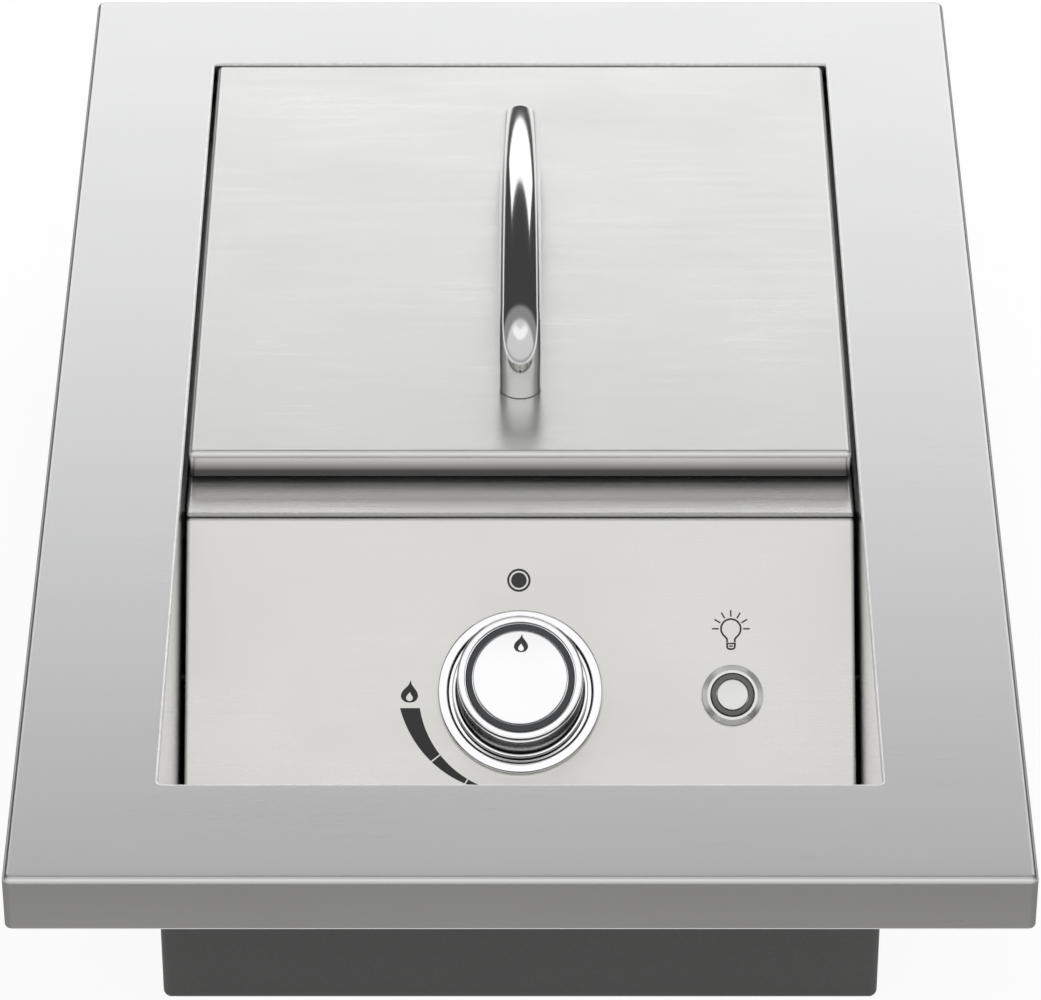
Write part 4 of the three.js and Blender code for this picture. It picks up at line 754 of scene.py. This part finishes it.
def makeButton():
    b, pole, soft = buttonSizes, meshSizes["pole"], buttonSizes["soft"]
    place = dict(across=panelSizes["buttonAcross"], along=panelSizes["buttonAlong"])
    top, foot = gap + b["ringHeight"], -panelSizes["sheet"] - b["length"]
    profile = fillet([(pole, foot), (b["barrel"], foot, 0.5), (b["barrel"], gap), (b["ring"], gap, soft),
                      (b["ring"], top - b["bevelDrop"], gap), (b["land"], top, gap), (b["bore"], top, soft),
                      (b["bore"], -b["floor"]), (pole, -b["floor"])], 6)
    parts = [lathe(profile, b["around"])]
    width, length, height = b["pin"]
    pin = fillet([(-width / 2, 0), (0, 0, soft), (0, height, soft), (-width / 2, height)], 2)[1:-1]
    parts += [stackLoops(sweptLoops(pin, width, length, soft, lift=foot - b["pinReach"], centreY=step, turn=2))
              for step in b["pins"]]
    meshPiece("switch_turned", [onPanel(part, **place) for part in parts], switchChrome, "light_switch")
    high = top + b["height"] - b["push"]
    wide, rim, base = b["disc"] + b["discGap"], high - b["rise"], high - b["skirt"]
    ring = fillet([(wide, high - b["ringInner"]), (wide, base), (b["buttonRing"], base),
                   (b["buttonRing"], rim, b["ringRound"]), (wide, rim, soft)], 5)
    meshPiece("button_ring_glossy", [onPanel(lathe(ring, b["around"], ring=True), **place)], buttonRingDark,
              "light_button_ring")
    low, narrow = base - b["rise"], b["disc"] - b["discGap"]
    # the crown's height is its gap to the ring times one less the square of the share of the radius
    crown = [(b["disc"] * s, high + b["discGap"] * (1 - s * s))
             for s in np.linspace(b["crownStart"], 0.002, 12)]
    foot = low - b["thickness"]
    disc = fillet([(pole, foot), (b["buttonRing"], foot), (b["buttonRing"], low - gap), (narrow, low - gap),
                   (narrow, high, b["discRound"]), crown[0]], 5)
    disc = lathe(disc.tolist() + crown[1:], b["around"])
    meshPiece("button_disc", [onPanel(disc, **place)], buttonSteel, "light_button")


makeButton()
print("stage: light button made")


# Printed marks: thin dark shapes on the panel and the knob's cap

# the bulb's heights are from the middle of its glass
markSizes = dict(
    lift=0.02, ink=0.04, offAcross=-0.5, offAlong=25.7, offRing=4.54, offStroke=0.85, offDot=3.02,
    highAcross=-42.7, highAlong=69.2, flameHeight=8.6, scaleInner=39.1, scaleWidth=7.6, scaleLevel=5.93,
    scaleEnd=77.0, scalePast=1.0, dividers=(38.0, 59.0), dividerHalf=0.35, knobFlame=7.0, knobAcross=0.3,
    knobAbove=13.1, bulbAcross=81.4, bulbAlong=44.7, bulbRadius=3.8, bulbNeck=1.5, bulbStroke=0.72,
    bulbThin=0.8, glassTurns=(222, -42), neckTop=-3.9, neckFoot=-5.3, neckRound=1.2, cupTop=-5.6,
    cupFoot=-7.9, cupRound=1.0, threadHigh=-5.75, threadLow=-6.75, rays=(4.7, 6.0, 7.3))


def frameShape(outer, inner, low, high):
    # a flat shape with one hole: outlines of equal count
    return stackLoops([raised(outer, low), raised(outer, high), raised(inner, high), raised(inner, low)],
                      ring=True)


def ribbon(line, width, low, high):
    # a flat stroke along a line of points
    line = np.asarray(line, float)
    ahead = np.gradient(line, axis=0)
    ahead /= np.linalg.norm(ahead, axis=1)[:, None]
    side = np.stack([-ahead[:, 1], ahead[:, 0]], -1) * width / 2
    return prism(np.concatenate([line + side, (line - side)[::-1]]), low, high)


def arc(radius, start, end, steps):
    # points on a circle between two turns in degrees
    t = np.radians(np.linspace(start, end, steps))
    return np.column_stack([np.cos(t), np.sin(t)]) * np.reshape(radius, (-1, 1))


def wholeRound(radius, steps):
    # a closed circle, its last point one step before its first
    return arc(radius, 0, 360 - 360 / steps, steps)


def smoothLoop(points, steps=4):
    # a closed curve through the points: p1 + t (p2 - p0) / 2 + t^2 (p0 - 2.5 p1 + 2 p2 - p3 / 2)
    # + t^3 (1.5 p1 - p0 / 2 - 1.5 p2 + p3 / 2) between each two of them
    p1 = np.array(points, float)
    p0, p2, p3 = np.roll(p1, 1, 0), np.roll(p1, -1, 0), np.roll(p1, -2, 0)
    out = [p1 + t * (p2 - p0) / 2 + t ** 2 * (p0 - 2.5 * p1 + 2 * p2 - p3 / 2)
           + t ** 3 * (1.5 * p1 - p0 / 2 - 1.5 * p2 + p3 / 2) for t in np.arange(steps) / steps]
    return np.stack(out, 1).reshape(-1, 2)


def flame(height, low, high):
    # a plain flame with a drop left bare in its foot, both drawn as shares of its height
    outer = [(0.06, 0.50), (0.10, 0.33), (0.23, 0.15), (0.35, -0.04), (0.38, -0.24), (0.26, -0.43),
             (0.02, -0.50), (-0.24, -0.44), (-0.38, -0.25), (-0.34, -0.03), (-0.20, 0.14), (-0.04, 0.30)]
    inner = [(0.02, -0.02), (0.06, -0.12), (0.13, -0.22), (0.15, -0.31), (0.11, -0.39), (0.01, -0.43),
             (-0.10, -0.39), (-0.15, -0.30), (-0.13, -0.21), (-0.08, -0.14), (-0.04, -0.09), (0.0, -0.05)]
    return frameShape(smoothLoop(outer) * height, smoothLoop(inner) * height, low, high)


def makeMarks():
    m = markSizes
    low, high = m["lift"], m["lift"] + m["ink"]
    parts = []

    def mark(part, across, along):
        parts.append(onPanel(part, across, along))

    off = (m["offAcross"], m["offAlong"])
    rings = (wholeRound(radius, 48) for radius in (m["offRing"], m["offRing"] - m["offStroke"]))
    mark(frameShape(*rings, low, high), *off)
    mark(prism(wholeRound(m["offDot"], 36), low, high), *off)
    mark(flame(m["flameHeight"], low, high), m["highAcross"], m["highAlong"])
    # heat scale: a band round the knob that narrows steadily to nothing, with two thin breaks
    # its wide end is level, so its two arcs start at turns whose sines are level / radius
    inside, outside = (math.degrees(math.asin(m["scaleLevel"] / r))
                       for r in (m["scaleInner"], m["scaleInner"] + m["scaleWidth"]))
    stops = [inside] + [d + s * m["dividerHalf"] for d in m["dividers"] for s in (-1, 1)] + [m["scaleEnd"]]
    last = m["scaleEnd"] + m["scalePast"]

    def scaleArc(start, end, share):
        width = m["scaleWidth"] * (last - np.linspace(start, end, 28)) / (last - outside)
        return arc(m["scaleInner"] + width * share, 180 + start, 180 + end, 28)

    for start, end in zip(stops[::2], stops[1::2]):
        far = scaleArc(outside if start == inside else start, end, 1.0)
        band = np.concatenate([scaleArc(start, end, 0.0), far[::-1]])
        mark(prism(band, low, high), 0.0, unitSizes["knobAlong"])
    # bulb: the glass is an arc drawn in to a straight neck, over a rounded cup with two turns of thread
    bulb = (m["bulbAcross"], m["bulbAlong"])
    radius, neck, stroke = m["bulbRadius"], m["bulbNeck"], m["bulbStroke"]
    thin = stroke * m["bulbThin"]
    glass = fillet([(-neck, m["neckFoot"]), (-neck, m["neckTop"], m["neckRound"])]
                   + arc(radius, *m["glassTurns"], 40).tolist()
                   + [(neck, m["neckTop"], m["neckRound"]), (neck, m["neckFoot"])], 6)
    cup = fillet([(-neck, m["cupTop"]), (-neck, m["cupFoot"], m["cupRound"]),
                  (neck, m["cupFoot"], m["cupRound"]), (neck, m["cupTop"])], 6)
    lines = [(glass, stroke), (cup, stroke)]
    for y, half in ((m["threadHigh"], neck + stroke / 2), (m["threadLow"], neck - stroke)):
        lines.append(([(-half, y), (0, y), (half, y)], thin))
    for angle in np.radians(range(0, 181, 30)):
        lines.append(([(math.cos(angle) * r, math.sin(angle) * r) for r in m["rays"]], thin))
    for line, width in lines:
        mark(ribbon(line, width, low, high), *bulb)
    meshPiece("panel_marks", parts, printInk, weighted=False)
    points, faces = flame(m["knobFlame"], 0.0, m["ink"])
    points = points + np.array([m["knobAcross"], m["knobAbove"], 0.0])
    # the crown's height over its middle is minus rise * (r / radius)^2
    radius = knobSizes["grooveInner"] - gap
    fall = knobSizes["capRise"] * (points[:, 0] ** 2 + points[:, 1] ** 2) / radius ** 2
    points[:, 2] += knobTopHeight + m["lift"] - fall
    meshPiece("knob_mark", [onPanel((points, faces), along=unitSizes["knobAlong"])], printInk, body="knob",
              weighted=False)


makeMarks()
print("stage: marks made")


# Grate and burner

# each finger's ends: how far past its tip, its width's share and how much lower it is
grateSizes = dict(
    size=229.0, corner=28.5, leastCorner=3.0, bar=8.0, height=10.0, round=2.2, footRound=0.6, draft=0.8,
    fingers=4, reach=64.0, tips=((3.0, 0.92, 0.0), (0.8, 0.84, 0.5), (-0.6, 0.62, 1.6)))


def makeGrate():
    u, g = unitSizes, grateSizes
    foot = u["deckTop"] - deckSizes["rimDepth"] + gap
    half, bar, draft = g["size"] / 2, g["bar"], g["draft"]
    # the bar's section is a cast one: rounded top, slightly wider foot
    height, bend, heel = g["height"], g["round"], g["footRound"]
    section = fillet([(-bar / 2, 0), (0, 0, heel), (-draft, height, bend), (draft - bar, height, bend),
                      (-bar, 0, heel), (-bar / 2, 0)], 5)[:-1]
    loops = sweptLoops(section, g["size"], g["size"], g["corner"], g["leastCorner"], foot,
                       centreY=u["burnerY"], turn=10, side=8)
    piece = meshPiece("grate_cast", [stackLoops(loops, ring=True)], castIron, "pot_grate")
    fingers = []
    tip = half - g["reach"]
    stops = [(half - bar / 2, 1.0, 0.0)] + [(tip + past, scale, drop) for past, scale, drop in g["tips"]]
    for i in range(g["fingers"]):
        loops = []
        for place, scale, drop in stops:
            flat = turned(np.array([((x + bar / 2) * scale, place) for x, z in section]), i * pi / 2)
            rise = [foot + max(z - drop * (z > 1), 0) for x, z in section]
            loops.append(np.column_stack([flat + (0, u["burnerY"]), rise]))
        fingers.append(stackLoops(loops))
    combine(piece, fingers, "UNION")


burnerSizes = dict(
    headRadius=46.0, bowlRadius=40.0, headBore=20.0, headFoot=5.0, headHeight=10.0,
    headRounds=(1.0, 3.0, 0.8, 0.6, 0.4), ports=24, portWidth=2.4, portDepth=5.0, portPast=5.0, portAbove=2.0,
    capRadius=44.0, capHeight=5.4, capEdge=1.6, capShoulder=1.4, capRounds=(0.8, 0.5, 0.5, 1.2),
    crownStart=0.93, plug=17.0, plugDepth=4.0, around=144)


def makeBurner():
    b, y, pole = burnerSizes, unitSizes["burnerY"], meshSizes["pole"]
    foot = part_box("burner_head")[0][2] * metre
    bore, height, wide = b["headBore"], b["headHeight"], b["headBore"] + b["headFoot"]
    first, bulge, rim, mouth, heel = b["headRounds"]
    head = fillet([(wide, 0), (b["bowlRadius"], 0, first), (b["headRadius"], height / 2, bulge),
                   (b["headRadius"], height, rim), (bore, height, mouth), (bore, 0, heel), (wide, 0)], 5)[:-1]
    piece = meshPiece("head_cast", [lathe(head, b["around"], (0, y, foot), ring=True)], castAluminium,
                      "burner_head")
    half, near, far = b["portWidth"] / 2, bore / 2, b["headRadius"] + b["portPast"]
    port = oblong(-half, half, near, far)
    low, high = foot + height - b["portDepth"], foot + height + b["portAbove"]
    turns = 2 * pi * np.arange(b["ports"]) / b["ports"]
    combine(piece, [prism(turned(port, turn) + (0, y), low, high) for turn in turns])
    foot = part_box("burner_cap")[0][2] * metre + b["plugDepth"]
    # the crown falls by the edge's drop times the cube of the share of the radius
    crown = [(b["capRadius"] * s, b["capHeight"] - b["capEdge"] * s ** 3)
             for s in np.linspace(b["crownStart"], 0.001, 20)]
    first, root, heel, rim = b["capRounds"]
    shoulder = b["capHeight"] - b["capEdge"] * b["capShoulder"]
    cap = fillet([(pole, -b["plugDepth"]), (b["plug"], -b["plugDepth"], first), (b["plug"], 0, root),
                  (b["capRadius"], 0, heel), (b["capRadius"], shoulder, rim), crown[0]], 5)
    cap = lathe(cap.tolist() + crown[1:], b["around"], (0, y, foot))
    meshPiece("cap_cast", [cap], castIron, "burner_cap")


makeGrate()
makeBurner()
print("stage: grate and burner made")


# The rest of the frame's nodes, each as a finer copy with softened edges

slotMaterial = dict(
    liner_steel=linerSteel, bracket_steel=bracketSteel, screw_steel=screwSteel, pipe_steel=pipeSteel,
    burner_aluminium=castAluminium, fitting_brass=fittingBrass, hub_plastic=hubPlastic,
    module_plastic=modulePlastic, wire_silicone=softSilicone, bumper_silicone=softSilicone,
    electrode_ceramic=ceramicWhite)
for node in sorted(set(frame["nodes"]) - placesTaken):
    # the screws low in the well's walls are blackened, the others bright
    refined(node, screwBlack if node.startswith("housing_screw") else slotMaterial[nodeSlot[node]])
print("stage: small parts made")


# Floor, light and camera: lengths in metres from here on

# each card is (x from, x to, y from, y to)
stageSizes = dict(
    floor=14.0, floorGrey=(0.90, 0.90, 0.90), floorWhite=0.93, cardHeight=0.001,
    cardGrey=(0.26, 0.256, 0.244, 1),
    cards=((-1.4, 1.4, -1.3, -0.345), (-0.55, -0.215, -0.345, 0.9), (0.215, 0.55, -0.345, 0.9)))


def stagePiece(name, boxes, height, material):
    # level rectangles at one height
    mesh = bpy.data.meshes.new(name)
    corners = raised(np.concatenate([oblong(*box) for box in boxes]), height).tolist()
    mesh.from_pydata(corners, [], [(i, i + 1, i + 2, i + 3) for i in range(0, len(corners), 4)])
    mesh.materials.append(material)
    item = addObject(name, mesh)
    return item


def makeFloor():
    # most of the floor's tone as seen is plain white; the rest is its lit paint, which keeps the shadow
    s = stageSizes
    material, tree, shader = newMaterial("floorPaint", s["floorGrey"], 0.0, 0.9, specular=0.1)
    path = tree.nodes.new("ShaderNodeLightPath").outputs
    seen = tree.plus(path["Is Camera Ray"], tree.plus(path["Is Glossy Ray"], path["Is Transmission Ray"]))
    share = tree.times(tree.add("Math", {0: seen, 1: 1.0}, operation="MINIMUM"), s["floorWhite"])
    white = tree.add("Emission", {"Color": (1, 1, 1, 1), "Strength": 1.0})
    mix = tree.add("MixShader", {"Fac": share, 1: shader.outputs["BSDF"], 2: white})
    tree.put(tree.nodes["Material Output"], {"Surface": mix})
    side = s["floor"]
    stagePiece("floor", [(-side, side, -side, side)], 0.0, material)


def makeCards():
    # grey cards on the studio floor before and beside the unit, seen only in the metal
    material, tree = newMaterial("cardGrey", (0.0, 0.0, 0.0), 0.0, 1.0, specular=0.0)[:2]
    grey = tree.add("Emission", {"Color": stageSizes["cardGrey"], "Strength": 1.0})
    tree.put(tree.nodes["Material Output"], {"Surface": grey})
    item = stagePiece("card", stageSizes["cards"], stageSizes["cardHeight"], material)
    item.visible_camera = item.visible_diffuse = item.visible_shadow = item.visible_transmission = False


makeFloor()
makeCards()


# Each panel of the world is (strength, axis, turn from, turn to, and the four degrees of height at which
# it starts, is full, starts to fade and ends). Each lamp is (place, target height, size, watts).
lightSizes = dict(
    level=0.30,
    panels=((-0.24, 0.20, 0.40, -1, 2, 80, 90), (0.42, -0.10, -0.25, 0, 8, 88, 90),
            (0.38, -0.20, -0.40, 38, 46, 56, 68)),
    lamps=dict(rearKey=((0.5, 3.2, 2.4), 0.05, (2.6, 1.6), 110),
               rearPanel=((0.15, 3.60, 1.52), 0.1, (4.4, 1.55), 29),
               rearMiddle=((0, 3.3, 2.55), 0.1, (5.0, 0.65), 11),
               rearHigh=((0, 2.7, 3.9), 0.1, (6.0, 2.0), 2.0), overhead=((0, 0.55, 4.2), 0.1, (4.0, 1.5), 10)),
    unseenInBar=("rearMiddle", "rearHigh", "overhead"))


def addLamp(name, place, height, size, power):
    lamp = bpy.data.lights.new(name, "AREA")
    lamp.shape = "RECTANGLE"
    lamp.size, lamp.size_y = size
    lamp.energy = power
    item = addObject(name, lamp)
    item.location = place
    item.rotation_euler = (Vector((0, 0, height)) - Vector(place)).to_track_quat("-Z", "Y").to_euler()
    return item


def makeWorld():
    # a studio of soft panels: tone by height and by the way round from the rear
    world = bpy.data.worlds.new("studio")
    bpy.context.scene.world = world
    tree = Nodes(world)
    split = tree.nodes.new("ShaderNodeSeparateXYZ")
    tree.put(split, {"Vector": tree.add("TexCoord", {}, "Generated")})

    def step(value, start, end):
        # rises smoothly from 0 at start to 1 at end
        rising = start < end
        return tree.spread(value, float(not rising), float(rising), min(start, end), max(start, end),
                           interpolation_type="SMOOTHSTEP")

    total = lightSizes["level"]
    for strength, wayStart, wayEnd, *heights in lightSizes["panels"]:
        a, b, c, d = (math.sin(math.radians(height)) for height in heights)
        share = tree.times(step(split.outputs["Y"], wayStart, wayEnd), step(split.outputs["Z"], a, b))
        share = tree.times(tree.times(share, step(split.outputs["Z"], d, c)), strength)
        total = tree.plus(share, total)
    grey = tree.add("CombineColor", {0: total, 1: total, 2: total})
    tree.put(tree.nodes["Background"], {"Color": grey, "Strength": 1.0})


makeWorld()
lamps = {name: addLamp(name, *row) for name, row in lightSizes["lamps"].items()}
lamps["rearKey"].visible_glossy = False
# the round bar keeps its dark reflections, so the three upper panels aren't seen in it
apart = bpy.data.collections.new("apart")
apart.objects.link(bpy.data.objects["handle_bail"])
apart.collection_objects[0].light_linking.link_state = "EXCLUDE"
for name in lightSizes["unseenInBar"]:
    lamps[name].light_linking.receiver_collection = apart
print("stage: light set")

camera = bpy.data.cameras.new("camera")
camera.lens = 198.26
camera.sensor_width = 36
camera.shift_x = 0.0003
camera.clip_end = 60
cameraItem = addObject("camera", camera)
cameraItem.location = (0, -1.8362, 1.4296)
cameraItem.rotation_euler = (math.radians(53.1), 0, 0)
bpy.context.scene.camera = cameraItem
bpy.context.scene.view_settings.view_transform = "Standard"
